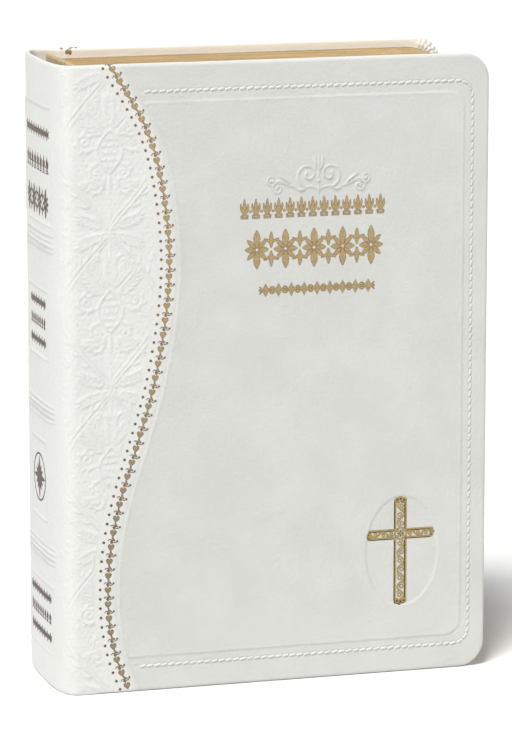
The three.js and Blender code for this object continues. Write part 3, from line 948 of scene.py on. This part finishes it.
def panel_skin(side):
    """The plain part of one cover: its face, the rolled edge on three sides, the turn-in with its gathered
    corners, and the inner ply."""
    columns, levels = with_support(panel_columns(), False), panel_rows()
    share = (columns - SPLIT_U) / (columns[-1] - SPLIT_U)
    radius = CORNER - EDGE
    corner = np.clip(np.maximum(CORNER - levels, levels - (HEIGHT - CORNER)), 0, radius)
    right = FORE - CORNER + np.sqrt(np.maximum(radius ** 2 - corner ** 2, 0)) - SPINE_CREASE
    u = SPLIT_U + share[None, :] * (right[:, None] - SPLIT_U)
    z = np.repeat(levels[:, None], len(share), 1)
    out = surface_height(u, z, side)
    index = np.arange(u.size).reshape(u.shape)
    faces = quads(index[:-1, :-1], index[:-1, 1:], index[1:, 1:], index[1:, :-1])

    # The loops go round the face's outline at tail, fore-edge and head
    edge = np.concatenate([index[0, :-1], index[:-1, -1], index[-1, ::-1]])
    eu, ez = u.ravel()[edge], z.ravel()[edge]
    nu, nz, gather = corner_outward(eu, ez)
    blocks = [np.stack([u, z, out], -1).reshape(-1, 3)]
    rest_blocks = [np.stack([u, z, np.zeros_like(u)], -1).reshape(-1, 3)]
    turn_in_painted_lights = [np.zeros(u.size)]
    rings = [edge]
    for reach, level, unrolled, inside in edge_loops(out.ravel()[edge], skin_thickness(eu), gather):
        rings.append(u.size + len(edge) * (len(rings) - 1) + np.arange(len(edge)))
        blocks.append(np.stack([eu + nu * reach, ez + nz * reach, level], -1))
        rest_blocks.append(np.stack([eu + nu * unrolled, ez + nz * unrolled, np.full(len(eu), 0.2)], -1))
        turn_in_painted_lights.append(np.full(len(eu), TURN_IN_PAINTED_LIGHT * inside))
    for near, far in zip(rings[:-1], rings[1:]):
        faces += quads(near[:-1], far[:-1], far[1:], near[1:])
    seam = index[:, 0].tolist() + [int(ring[-1]) for ring in rings[1:]]
    seam += [int(ring[0]) for ring in rings[:0:-1]]
    faces += [rings[-1].tolist(), seam]
    local = np.vstack(blocks)
    points = np.stack([SPINE_CREASE + local[:, 0], side * (FACE + local[:, 2]), local[:, 1]], -1)
    rest = np.vstack(rest_blocks) + (0, 0, side * 0.01)
    # The band's lighter colour, partly painted light, and the bright cream painted on the turn-in for
    # reflected light
    tone_and_painted_light = np.maximum(band_tone_and_painted_light(local[:, 0], local[:, 1]), np.concatenate(turn_in_painted_lights))
    return make_piece(f"{SIDE_NAMES[side]}_cover_skin", points, outward(faces, side), rest, [LEATHER], tone_and_painted_light)


def blend_between(piece, side, start, end):
    """Bakes a piece's transform into its mesh. The two places across the crease are worked out but not used,
    so the piece does not bend between the bodies.
    """
    ends = (((SPINE_CREASE + u) * MM, side * FACE * MM, HEIGHT / 2 * MM) for u in (start, end))
    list(ends)
    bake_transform(piece)


def blend_joint(piece, side):
    blend_between(piece, side, -SEAM_U, SEAM_U)


def blend_cover(piece, side):
    blend_between(piece, side, SEAM_U, 3 * SEAM_U)


def build_leather():
    spine = skin_strip("spine_skin", graded(-ARC - JOINT_U, ((JOINT_U, CREASE_STEP),)), FRONT, SPINE_TURN_IN)
    settle(spine, "spine", "spine_leather")
    for side, name in SIDE_NAMES.items():
        joint = skin_strip(f"{name}_joint_skin", graded(JOINT_U, ((SEAM_U, BAND_STEP),)), side, SPINE_TURN_IN)
        settle(joint, None, f"{name}_hinge_leather")
        blend_joint(joint, side)
        band = skin_strip(f"{name}_band_skin", graded(SEAM_U, ((SPLIT_U, BAND_STEP),)), side, TURN_IN)
        settle(band)
        blend_cover(band, side)
        settle(panel_skin(side), f"{name}_cover", f"{name}_cover_leather")


build_leather()


# ---- Foil ----

# Height above the leather, how far a shape reaches down from its face, and the bronze rim that lies under a
# gold shape and reaches out beyond it, painted shade for the shaded walls of the pressed foil
FOIL_RISE = 0.07
FOIL_SKIRT = 0.08
SHADE_RIM_RISE = 0.03
SHADE_RIM_GROW = 0.13
PETAL_WIDTHS = np.array((0.25, 0.8, 1.0, 0.75, 0.12))
# A fan stands this much higher at its centre than round its edge
BUTTON = 1.2


def shape_edge(shape, grow):
    """The closed outline of one foil shape, grown a little, and its centre when it is a fan."""
    if shape[0] == "fan":
        _, centre, points = shape
        away = points - centre
        return centre, points + grow * away / np.maximum(np.hypot(*away.T), 1e-9)[:, None]
    _, line, normal, half, along = shape
    line = line.copy()
    line[0] -= grow * along[0]
    line[-1] += grow * along[-1]
    left = line + normal * (half + grow)[:, None]
    right = line - normal * (half + grow)[:, None]
    return None, np.vstack([right, left[::-1]])


class Foil:
    """Flat foil shapes on the unrolled leather, each a fan round a centre or a strip between two lines."""

    def __init__(self):
        self.shapes = []

    def ribbon(self, points, widths, step=0.35):
        line = resample(points, step)
        along = np.gradient(line, axis=0)
        along /= np.maximum(np.hypot(*along.T), 1e-9)[:, None]
        normal = np.stack([-along[:, 1], along[:, 0]], 1)
        self.shapes.append(("strip", line, normal, spread(widths, len(line)) / 2, along))

    def petal(self, origin, angle, length, width, bend=0.0):
        self.ribbon(turned(leaf_line(length, bend), angle, origin), PETAL_WIDTHS * width)

    def outline(self, centre, points):
        self.shapes.append(("fan", np.asarray(centre, float), np.asarray(points, float)))

    def dot(self, centre, radius, sides=10):
        self.outline(centre, circle(centre, radius, np.linspace(0, 2 * math.pi, sides, endpoint=False)))

    def lozenge(self, centre, half_u, half_z):
        u, z = centre
        self.outline(centre, [(u + half_u, z), (u, z + half_z), (u - half_u, z), (u, z - half_z)])

    def ring(self, centre, radius, width, sides=22):
        self.ribbon(circle(centre, radius, np.linspace(0, 2 * math.pi, sides)), width, 0.25)

    def heart(self, centre, angle, width):
        t = np.linspace(0, 2 * math.pi, 22, endpoint=False)
        x = 16 * np.sin(t) ** 3
        y = 13 * np.cos(t) - 5 * np.cos(2 * t) - 2 * np.cos(3 * t) - np.cos(4 * t) + 1
        self.outline(centre, turned(np.stack([-x, HEART_STRETCH * y], 1) * width / 32, angle, centre))

    def build(self, name, material, side, height, grow=0.0, skirt=FOIL_SKIRT, flare=0.0, slot="gold_foil",
              body=None, node_name=None):
        """One closed mesh of every shape, height above the leather, its foot wider than its face by flare."""
        points, faces, rest = [], [], []
        for shape in self.shapes:
            centre, outline = shape_edge(shape, grow)
            foot = shape_edge(shape, grow + flare)[1]
            n, start = len(outline), len(points)
            level = surface_height(*outline.T, side)
            points += place(*outline.T, level + height, side).tolist()
            points += place(*foot.T, level + height - skirt, side).tolist()
            rest += [(a, b, sign * height) for sign in (1, -1) for a, b in outline]
            ring = np.arange(n)
            after = np.roll(ring, -1)
            made = quads(ring, ring + n, after + n, after)
            if centre is None:
                strip = [[k, k + 1, n - 2 - k, n - 1 - k] for k in range(n // 2 - 1)]
                for face in strip:
                    made += [face, [corner + n for corner in reversed(face)]]
            else:
                middle = surface_height(*centre, side)
                for out in (BUTTON * height, height - skirt):
                    points.append(place(*centre, middle + out, side).tolist())
                rest += [(*centre, height), (*centre, -height)]
                made += [[a, b, 2 * n] for a, b in zip(ring, after)]
                made += [[b + n, a + n, 2 * n + 1] for a, b in zip(ring, after)]
            faces += [[int(corner) + start for corner in face] for face in made]
        piece = make_piece(name, points, outward(faces, side), rest, [material], smooth_faces=False)
        settle(piece, body, node_name)
        return piece


# The border starts at this unrolled height, on the way over the head edge, and ends above the tail edge
BORDER_START = 214.9
BORDER_END = EDGE + 0.8
HEADING_STEP = 0.3
HEART_PITCH = 4.9
HEART_WIDTH = 2.1
HEART_STRETCH = 1.22
# How far a heart follows the border's slant
HEART_LEAN = 0.6
DOT_PITCH = 3.15
DOT_RADIUS = 0.48
# The sprig between two hearts, as places (down the border, to its right) from the upper heart's middle
SPRIG_STALK = ((1.1, 0.0), (1.9, 0.25), (2.8, 0.1), (3.5, -0.1))
SPRIG_LEAVES = (((2.0, 0.15), -0.5, 1.05, 0.5), ((2.6, 0.1), -1.5, 0.9, 0.42))
SPRIG_CURLS = (((2.9, 0.3), (3.1, 0.9), (2.9, 1.5), (2.5, 1.85)),
               ((2.7, 0.0), (2.2, -0.5), (2.3, -1.0), (2.75, -1.35)))
SPRIG_BUDS = (((2.45, 1.85), 0.36), ((2.95, -0.3), 0.32))
# A heart this near the tail has no sprig, which would hang below the edge
SPRIG_REACH = 5.0


def border_places(pitch):
    """Places down the border's middle line, from over the head edge to the tail, each with its heading."""
    length = lengths_along(BORDER)
    first = np.interp(-BORDER_START, -BORDER[:, 1], length)
    for s in np.arange(first, length[-1], pitch):
        steps = (s, s + HEADING_STEP)
        here, ahead = (np.array([np.interp(t, length, line) for line in BORDER.T]) for t in steps)
        if here[1] > BORDER_END:
            yield here, math.atan2(*(ahead - here)[::-1])


def border_foil():
    """Hearts in a row with buds and curls between them, and the row of dots beside them."""
    gold, bronze = Foil(), Foil()
    for here, heading in border_places(HEART_PITCH):
        lean = heading + UP
        gold.heart(here, HEART_LEAN * lean, HEART_WIDTH)
        if here[1] < SPRIG_REACH:
            continue
        gold.ribbon(turned(SPRIG_STALK, heading, here), (0.2, 0.5, 0.3, 0.2), 0.2)
        for origin, angle, length, width in SPRIG_LEAVES:
            gold.petal(turned([origin], heading, here)[0], lean + angle, length, width)
        for curve in SPRIG_CURLS:
            bronze.ribbon(catmull(turned(curve, heading, here), 5), (0.16, 0.3, 0.18), 0.15)
        for centre, radius in SPRIG_BUDS:
            bronze.dot(turned([centre], heading, here)[0], radius, 9)
    for here, heading in border_places(DOT_PITCH):
        bronze.dot(turned([(0, -DOT_ROW)], heading, here)[0], DOT_RADIUS, 11)
    return gold, bronze


def build_border(side):
    name = SIDE_NAMES[side]
    gold, bronze = border_foil()
    node_name = "foil_border" if side == FRONT else "foil_border_back"
    # The bronze rims under the hearts are painted shade for the shaded walls of the pressed foil
    for piece in (gold.build(f"{name}_border_hearts", GOLD, side, FOIL_RISE, node_name=node_name),
                  gold.build(f"{name}_border_heart_shade_rims", BRONZE, side, SHADE_RIM_RISE, SHADE_RIM_GROW),
                  bronze.build(f"{name}_border_sprigs", BRONZE, side, FOIL_RISE)):
        blend_cover(piece, side)


# Each row's ornament is drawn about the middle of its place, with half the row's height and the pitch to the
# next one; the last of a row has nothing beyond it.

def fleuron(foil, u, middle, half, pitch, last):
    """A small upright fleuron, and a bead beside its foot."""
    foot, bar = middle - 0.5 * half, middle - 0.82 * half
    foil.petal((u, foot), UP, 1.5 * half, 0.27 * pitch)
    foil.ribbon([(u - 0.3 * pitch, bar), (u + 0.3 * pitch, bar)], 0.5)
    for sign in (1, -1):
        foil.petal((u, foot), UP - sign * 0.72, 1.05 * half, 0.2 * pitch, sign * 0.4)
        foil.petal((u, foot), UP - sign * 1.9, 0.4 * half, 0.14 * pitch)
    if not last:
        foil.dot((u + pitch / 2, middle - 0.2 * half), 0.11 * half)


def rosette(foil, u, middle, half, pitch, last):
    """A tall eight-petalled rosette, and an upright sprig beside it."""
    width = 0.15 * half
    for k in range(4):
        reach, breadth = (half, 2.4 * width) if k % 2 else (0.4 * pitch, 1.9 * width)
        for angle, length, petal_width in ((k * UP, reach - width, breadth),
                                           ((k + 0.5) * UP, 0.36 * pitch, 1.5 * width)):
            root = (u + width * math.cos(angle), middle + width * math.sin(angle))
            foil.petal(root, angle, length, petal_width)
    foil.ring((u, middle), 0.8 * width, 0.3 * width, 16)
    if last:
        return
    between = u + pitch / 2
    for sign in (1, -1):
        foil.petal((between, middle + sign * 0.1 * half), sign * UP, half * 0.8, 1.5 * width)
        for bend in (1, -1):
            foil.petal((between, middle + sign * 0.3 * half), sign * UP + bend * 0.7,
                       half * 0.45, 0.8 * width, bend * 0.3)


def bead(foil, u, middle, half, pitch, last):
    """A lozenge on a hairline, and a bead beside it."""
    foil.lozenge((u, middle), 0.27 * pitch, half)
    foil.ribbon([(u - 0.5 * pitch, middle), (u + 0.5 * pitch, middle)], 0.14 * half)
    for sign in (1, -1):
        foil.petal((u + 0.25 * pitch, middle), sign * 0.9, half * 0.7, 0.22 * half)
        foil.petal((u - 0.25 * pitch, middle), math.pi - sign * 0.9, half * 0.7, 0.22 * half)
    if not last:
        foil.dot((u + pitch / 2, middle), 0.2 * half)


def draw_row(foil, ornament, left, right, middle, half, count):
    pitch = (right - left) / count
    for i in range(count):
        ornament(foil, left + (i + 0.5) * pitch, middle, half, pitch, i == count - 1)


COVER_ROWS = (("foil_row_upper", fleuron, 13), ("foil_row_middle", rosette, 5), ("foil_row_lower", bead, 9))


def build_rows():
    for node_name, ornament, count in COVER_ROWS:
        foil = Foil()
        low, high = box_mm(node_name)
        left, right = low[0] - SPINE_CREASE, high[0] - SPINE_CREASE
        draw_row(foil, ornament, left, right, (low[2] + high[2]) / 2, (high[2] - low[2]) / 2, count)
        foil.build(f"{node_name}_gold", GOLD, FRONT, FOIL_RISE, body="front_cover", node_name=node_name)
        # The bronze edges are painted shade under each gold shape, for the shaded walls of the pressed foil
        foil.build(f"{node_name}_edges", BRONZE, FRONT, SHADE_RIM_RISE, SHADE_RIM_GROW, body="front_cover")


# A stitch's width along its length, how deep its foot goes into the leather, and the step along it
STITCH_WIDTHS = np.array((0.45, 0.9, 1.0, 0.9, 0.45)) * STITCH_WIDTH
STITCH_SKIRT = STITCH_RISE + 0.1
STITCH_STEP = 0.3


def build_stitches():
    """Raised dashes of leather in the pressed groove."""
    for side, name in SIDE_NAMES.items():
        foil = Foil()
        for dash in stitch_dashes():
            foil.ribbon(dash, STITCH_WIDTHS, STITCH_STEP)
        foil.build(f"{name}_stitches", LEATHER, side, STITCH_RISE, skirt=STITCH_SKIRT, flare=STITCH_FLARE,
                   slot="cover_leather", body=f"{name}_cover")


# The cross's arms, about its middle: direction, length and half width
CROSS_ARMS = ((0.0, 10.6, 1.4), (UP, 11.4, 1.85), (math.pi, 10.6, 1.4), (-UP, 23.1, 1.85))
CROSS_HUB = 2.2
CROSS_RAIL, CROSS_RAIL_START = 0.42, 1.9
CROSS_SCROLL_START, CROSS_SCROLL_PITCH = 2.0, 2.9
CROSS_SHADOW = (-0.4, -0.36)
# The three rings at an arm's tip: place across the arm in half widths, and how far beyond its end
CROSS_TIPS = ((0, 0.75), (0.66, 0.35), (-0.66, 0.35))
# The lace's height, and the height and reach of its bronze rim of painted shade
CROSS_RISE, CROSS_SHADE_RIM_RISE, CROSS_SHADE_RIM_GROW = 0.12, SHADE_RIM_RISE + 0.02, SHADE_RIM_GROW * 0.45


def draw_cross_arm(lace, dark, angle, length, half):
    def along_arm(points):
        return turned(points, angle, CROSS)

    def on_arm(x, y):
        return along_arm([(x, y)])[0]

    for side in (1, -1):
        rail = along_arm([(CROSS_RAIL_START, side * half), (length, side * half)])
        lace.ribbon(rail, CROSS_RAIL, 0.6)
        dark.ribbon(rail + CROSS_SHADOW, CROSS_RAIL, 0.6)
    steps = int(round((length - CROSS_HUB) / CROSS_SCROLL_PITCH))
    pitch = (length - CROSS_HUB) / steps
    t = np.linspace(0, 1, 12 * steps)
    across_arm = 0.6 * half * np.sin(math.pi * steps * t)
    stem = np.stack([CROSS_SCROLL_START + (length - CROSS_SCROLL_START) * t, across_arm], 1)
    lace.ribbon(along_arm(stem), CROSS_RAIL, 0.2)
    for k in range(steps):
        x, hand = CROSS_SCROLL_START + (k + 0.5) * pitch, 1 if k % 2 == 0 else -1
        lace.ring(on_arm(x, -hand * 0.18 * half), 0.34 * half, 0.34, 12)
        lace.petal(on_arm(x + 0.42 * pitch, hand * 0.1), angle + hand * 1.0, 0.75 * half, 0.5)
        lace.petal(on_arm(x - 0.42 * pitch, -hand * 0.1), angle + hand * 4.1, 0.75 * half, 0.5)
    for y, beyond in CROSS_TIPS:
        tip = on_arm(length + beyond, y * half)
        lace.ring(tip, 0.36 * half, 0.36, 14)
        dark.dot(tip + CROSS_SHADOW, 0.42 * half, 12)
    lace.ring(on_arm(1.15, 0), 0.85, 0.36, 16)
    dark.petal(on_arm(0.2, 0), angle, 1.2, 0.5)


def build_cross():
    """Openwork arms: a rail along each edge with scrolls and buds between, over a dark line to one side."""
    lace, dark = Foil(), Foil()
    for arm in CROSS_ARMS:
        draw_cross_arm(lace, dark, *arm)
    lace.ring(CROSS, 2.1, 0.3, 26)
    # A painted shadow line to one side, and a bronze rim of painted shade under the lace
    dark.build("cross_shadow_line", DARK_FOIL, FRONT, SHADE_RIM_RISE, body="front_cover")
    lace.build("cross_shade_rim", BRONZE, FRONT, CROSS_SHADE_RIM_RISE, CROSS_SHADE_RIM_GROW, body="front_cover")
    lace.build("cross_lace", CROSS_GOLD, FRONT, CROSS_RISE, body="front_cover", node_name="foil_cross")


# Rows across the spine: ornament, level, half width, half height and how many
SPINE_ROWS = {
    "spine_foil_upper": (
        (bead, 188.0, 15.5, 2.2, 9), (fleuron, 177.5, 15.5, 3.0, 8), (rosette, 164.6, 15.5, 5.0, 4),
        (bead, 130.3, 10.5, 2.0, 6), (fleuron, 123.8, 10.5, 2.0, 7), (bead, 117.0, 10.5, 2.0, 6)),
    "spine_foil_lower": (
        (bead, 30.3, 14.0, 2.0, 8), (fleuron, 23.6, 14.0, 2.0, 9), (bead, 16.8, 14.0, 2.0, 8)),
}
MEDALLION_LEVEL, MEDALLION_RADIUS = 70.0, 8.0


def draw_medallion(foil, centre):
    for k in range(12):
        reach = 0.9 if k % 3 == 0 else 0.62
        foil.petal(centre, k * math.pi / 6, MEDALLION_RADIUS * reach, 1.7)
    foil.ring(centre, MEDALLION_RADIUS, 0.6, 40)
    foil.ring(centre, MEDALLION_RADIUS * 0.3, 0.5)


def build_spine_foil():
    """Dark foil rows inside the spine's pressed panels, and a medallion in the third."""
    middle = -ARC / 2
    for name, rows in SPINE_ROWS.items():
        foil = Foil()
        for ornament, level, half_width, half_height, count in rows:
            draw_row(foil, ornament, middle - half_width, middle + half_width, level, half_height, count)
        if name == "spine_foil_lower":
            draw_medallion(foil, (middle, MEDALLION_LEVEL))
        foil.build(f"{name}_shapes", DARK_FOIL, FRONT, FOIL_RISE, body="spine", node_name=name)


for cover_side in SIDE_NAMES:
    build_border(cover_side)
build_rows()
build_stitches()
build_cross()
build_spine_foil()


# ---- Text block, endpapers and linings ----

PAGE_CORNER = 9.0
PAGE_EDGE_POINTS = 46
PAGE_CORNER_POINTS = 9
# Each section is drawn as this many layers of leaves, whose edges stand back by up to this much at random and
# ripple along their length
LEAF_LAYERS = 13
LEAF_STEP = 0.07
LEAF_SEED = 7
RIPPLE_DEPTH, RIPPLE_LENGTH, RIPPLE_SEED = 0.03, 14.0, 21
# How far the ripple is shifted from section to section and from layer to layer
SECTION_SHIFT, LAYER_SHIFT = 40, 9.0
# The gap between two layers, and between two sections
LAYER_GAP, SECTION_GAP = 0.03, 0.02
FLYLEAF_HALF = 0.11
# The paper glued to a board: how far it spreads beyond the CAD piece, and where its two faces lie about the
# leather's inner face
PASTEDOWN_GROW = 0.3
PASTEDOWN_SPINE_MARGIN = 1.5
PASTEDOWN_CORNER = CORNER - 4.0
PASTEDOWN_FACES = (-0.12, 0.25)


def page_outline(left, right, low, high, radius):
    """A closed outline in X and Z: square at the spine end, rounded at the fore-edge corners."""
    level = np.linspace(left, right - radius, PAGE_EDGE_POINTS)[:-1]
    tail = np.stack([level, np.full(len(level), low)], 1)
    corner_low = circle((right - radius, low + radius), radius, np.linspace(-UP, 0, PAGE_CORNER_POINTS))
    upright = np.linspace(low + radius, high - radius, PAGE_EDGE_POINTS)[1:-1]
    fore = np.stack([np.full(len(upright), right), upright], 1)
    corner_high = np.stack([corner_low[::-1, 0], high + low - corner_low[::-1, 1]], 1)
    head = tail[::-1] * (1, 0) + (0, high)
    return np.vstack([tail, corner_low, fore, corner_high, head])


def slab_piece(name, outline, levels, insets, materials):
    """A closed stack of outlines along Y, each drawn in by its inset. The two flat faces are n-gons with the
    second material."""
    n = len(outline)
    away = np.sign(outline - outline.mean(0))
    rings = []
    for y, inset in zip(levels, insets):
        ring = outline - away * np.reshape(inset, (-1, 1))
        rings.append(np.stack([ring[:, 0], np.full(n, y), ring[:, 1]], 1))
    points = np.vstack(rings)
    index = np.arange(len(points)).reshape(-1, n)
    after = np.roll(index, -1, 1)
    ends = [index[0].tolist(), index[-1, ::-1].tolist()]
    faces = quads(after[:-1], after[1:], index[1:], index[:-1]) + ends
    indices = [0] * (len(faces) - 2) + [1, 1]
    return make_piece(name, points, faces, points, materials, smooth_faces=False, face_material=indices)


def build_pages():
    rng = np.random.default_rng(LEAF_SEED)
    numbers = sorted(int(name.split("_")[-1]) for name in frame["nodes"] if name.startswith("page_section_"))
    boxes = {n: box_mm(f"page_section_{n}") for n in numbers}
    gap = boxes[numbers[1]][0][1] - boxes[numbers[0]][1][1]
    ripple = lattice(RIPPLE_LENGTH, RIPPLE_SEED)
    for n in numbers:
        low, high = boxes[n]
        outline = page_outline(low[0], high[0], low[2], high[2], PAGE_CORNER)
        start, end = low[1] - (gap - SECTION_GAP) / 2, high[1] + (gap - SECTION_GAP) / 2
        cuts = np.linspace(start, end, LEAF_LAYERS + 1)
        levels, insets = [], []
        for k in range(LEAF_LAYERS):
            swell = ripple(outline.sum(1) + SECTION_SHIFT * n, np.full(len(outline), LAYER_SHIFT * k))
            levels += [cuts[k] + LAYER_GAP / 2, cuts[k + 1] - LAYER_GAP / 2]
            insets += [rng.uniform(0, LEAF_STEP) + RIPPLE_DEPTH * swell] * 2
        levels[0], levels[-1] = start, end
        piece = slab_piece(f"leaves_{n}", outline, levels, insets, [GILT, PAPER])
        settle(piece, f"pages_{n}", f"page_section_{n}")


def build_endpapers():
    """On each side a free leaf, and the paper glued to the board inside its cover."""
    for side, name in SIDE_NAMES.items():
        low, high = box_mm(f"{name}_flyleaf")
        middle = (low[1] + high[1]) / 2
        outline = page_outline(low[0], high[0], low[2], high[2], PAGE_CORNER)
        levels = (middle - FLYLEAF_HALF, middle + FLYLEAF_HALF)
        free = slab_piece(f"{name}_free_endpaper", outline, levels, (0, 0), [GILT, ENDPAPER])
        settle(free, f"{name}_flyleaf", f"{name}_flyleaf")
        low, high = box_mm(f"{name}_cover_pastedown")
        low, high = low - PASTEDOWN_GROW, high + PASTEDOWN_GROW
        left = low[0] + PASTEDOWN_GROW + PASTEDOWN_SPINE_MARGIN
        outline = page_outline(left, high[0], low[2], high[2], PASTEDOWN_CORNER)
        levels = sorted(side * (FACE - COVER_THICKNESS + face) for face in PASTEDOWN_FACES)
        glued = slab_piece(f"{name}_board_paper", outline, levels, (0, 0), [ENDPAPER, ENDPAPER])
        settle(glued, f"{name}_cover", f"{name}_cover_pastedown")


# The materials of the CAD nodes that are carried over, by a part of the node's name
NODE_MATERIALS = {"_board": BOARD, "_inlay": KRAFT, "_lining_": MULL, "_band_": BAND}


def finish_nodes():
    """Gives each carried-over CAD node its material and the coordinates that the material reads."""
    for name, node in frame["nodes"].items():
        for part, material in NODE_MATERIALS.items():
            if part in name:
                at_mm = np.array([v.co for v in node.data.vertices]) / MM
                store(node.data, "rest", at_mm, "FLOAT_VECTOR", "vector")
                node.data.materials.clear()
                node.data.materials.append(material)


build_pages()
build_endpapers()
finish_nodes()


# ---- Stage, light and camera ----

AZIMUTH, ELEVATION = math.radians(-16.2), math.radians(10.9)
DISTANCE = 1.4215
TARGET = Vector((0.00115, 0.0, 0.1042))
LENS, SENSOR = 205.6, 36.0
WALLS, CEILING = (0.5, 0.5, 0.5), (0.25, 0.25, 0.25)
FLOOR_RADIUS = 14.0
FLOOR_SIDES = 64
# Suns: where each comes from, its strength, and its spread in degrees
SUNS = {
    "top": ((-0.28, -0.4, 1.0), 2.75, 14),
    "key": ((-0.46, -0.33, 0.68), 0.75, 18),
    "back": ((0.5, 0.8, 0.6), 0.7, 25),
}


def build_stage():
    """A wide round floor of pale paper."""
    tree = Nodes(bpy.data.materials.new("pale_paper_floor"))
    fibres = tree.add("TexNoise", Scale=60.0, Detail=3.0).outputs["Fac"]
    colour = tree.ramp(fibres, (0.3, (0.825, 0.825, 0.82)), (0.7, (0.84, 0.84, 0.835)))
    tree.put(tree.nodes["Principled BSDF"], Base_Color=colour, Roughness=0.9, Specular_IOR_Level=0.2)
    turns = np.linspace(0, 2 * math.pi, FLOOR_SIDES, endpoint=False)
    rim = [(x, y, 0) for x, y in circle((0, 0), FLOOR_RADIUS, turns)]
    mesh = bpy.data.meshes.new("floor")
    mesh.from_pydata(rim, [], [list(range(FLOOR_SIDES))])
    mesh.materials.append(tree.owner)
    in_scene(bpy.data.objects.new("floor", mesh))


def build_suns():
    for name, (towards, strength, spread_degrees) in SUNS.items():
        light = bpy.data.lights.new(name, "SUN")
        light.energy = strength
        light.angle = math.radians(spread_degrees)
        lamp = in_scene(bpy.data.objects.new(name, light))
        lamp.rotation_euler = Vector(towards).to_track_quat("Z", "Y").to_euler()


def build_world():
    """A white studio: bright walls up to a little over the horizon, and a dimmer ceiling."""
    world = bpy.data.worlds.new("studio")
    tree = Nodes(world)
    direction = tree.add("TexCoord").outputs["Generated"]
    up = tree.add("SeparateXYZ", Vector=direction).outputs["Z"]
    tree.put(tree.nodes["Background"], Color=tree.ramp(up, (0.10, WALLS), (0.35, CEILING)), Strength=1.0)
    bpy.context.scene.world = world


def build_camera():
    level = math.cos(ELEVATION)
    back = Vector((math.sin(AZIMUTH) * level, -math.cos(AZIMUTH) * level, math.sin(ELEVATION)))
    camera = bpy.data.cameras.new("camera")
    camera.lens, camera.sensor_width = LENS, SENSOR
    camera.clip_start, camera.clip_end = 0.05, 50
    holder = in_scene(bpy.data.objects.new("camera", camera))
    holder.location = TARGET + back * DISTANCE
    holder.rotation_mode = "QUATERNION"
    holder.rotation_quaternion = (-back).to_track_quat("-Z", "Y")
    bpy.context.scene.camera = holder


build_stage()
build_suns()
build_world()
build_camera()
bpy.context.scene.view_settings.view_transform = "Standard"
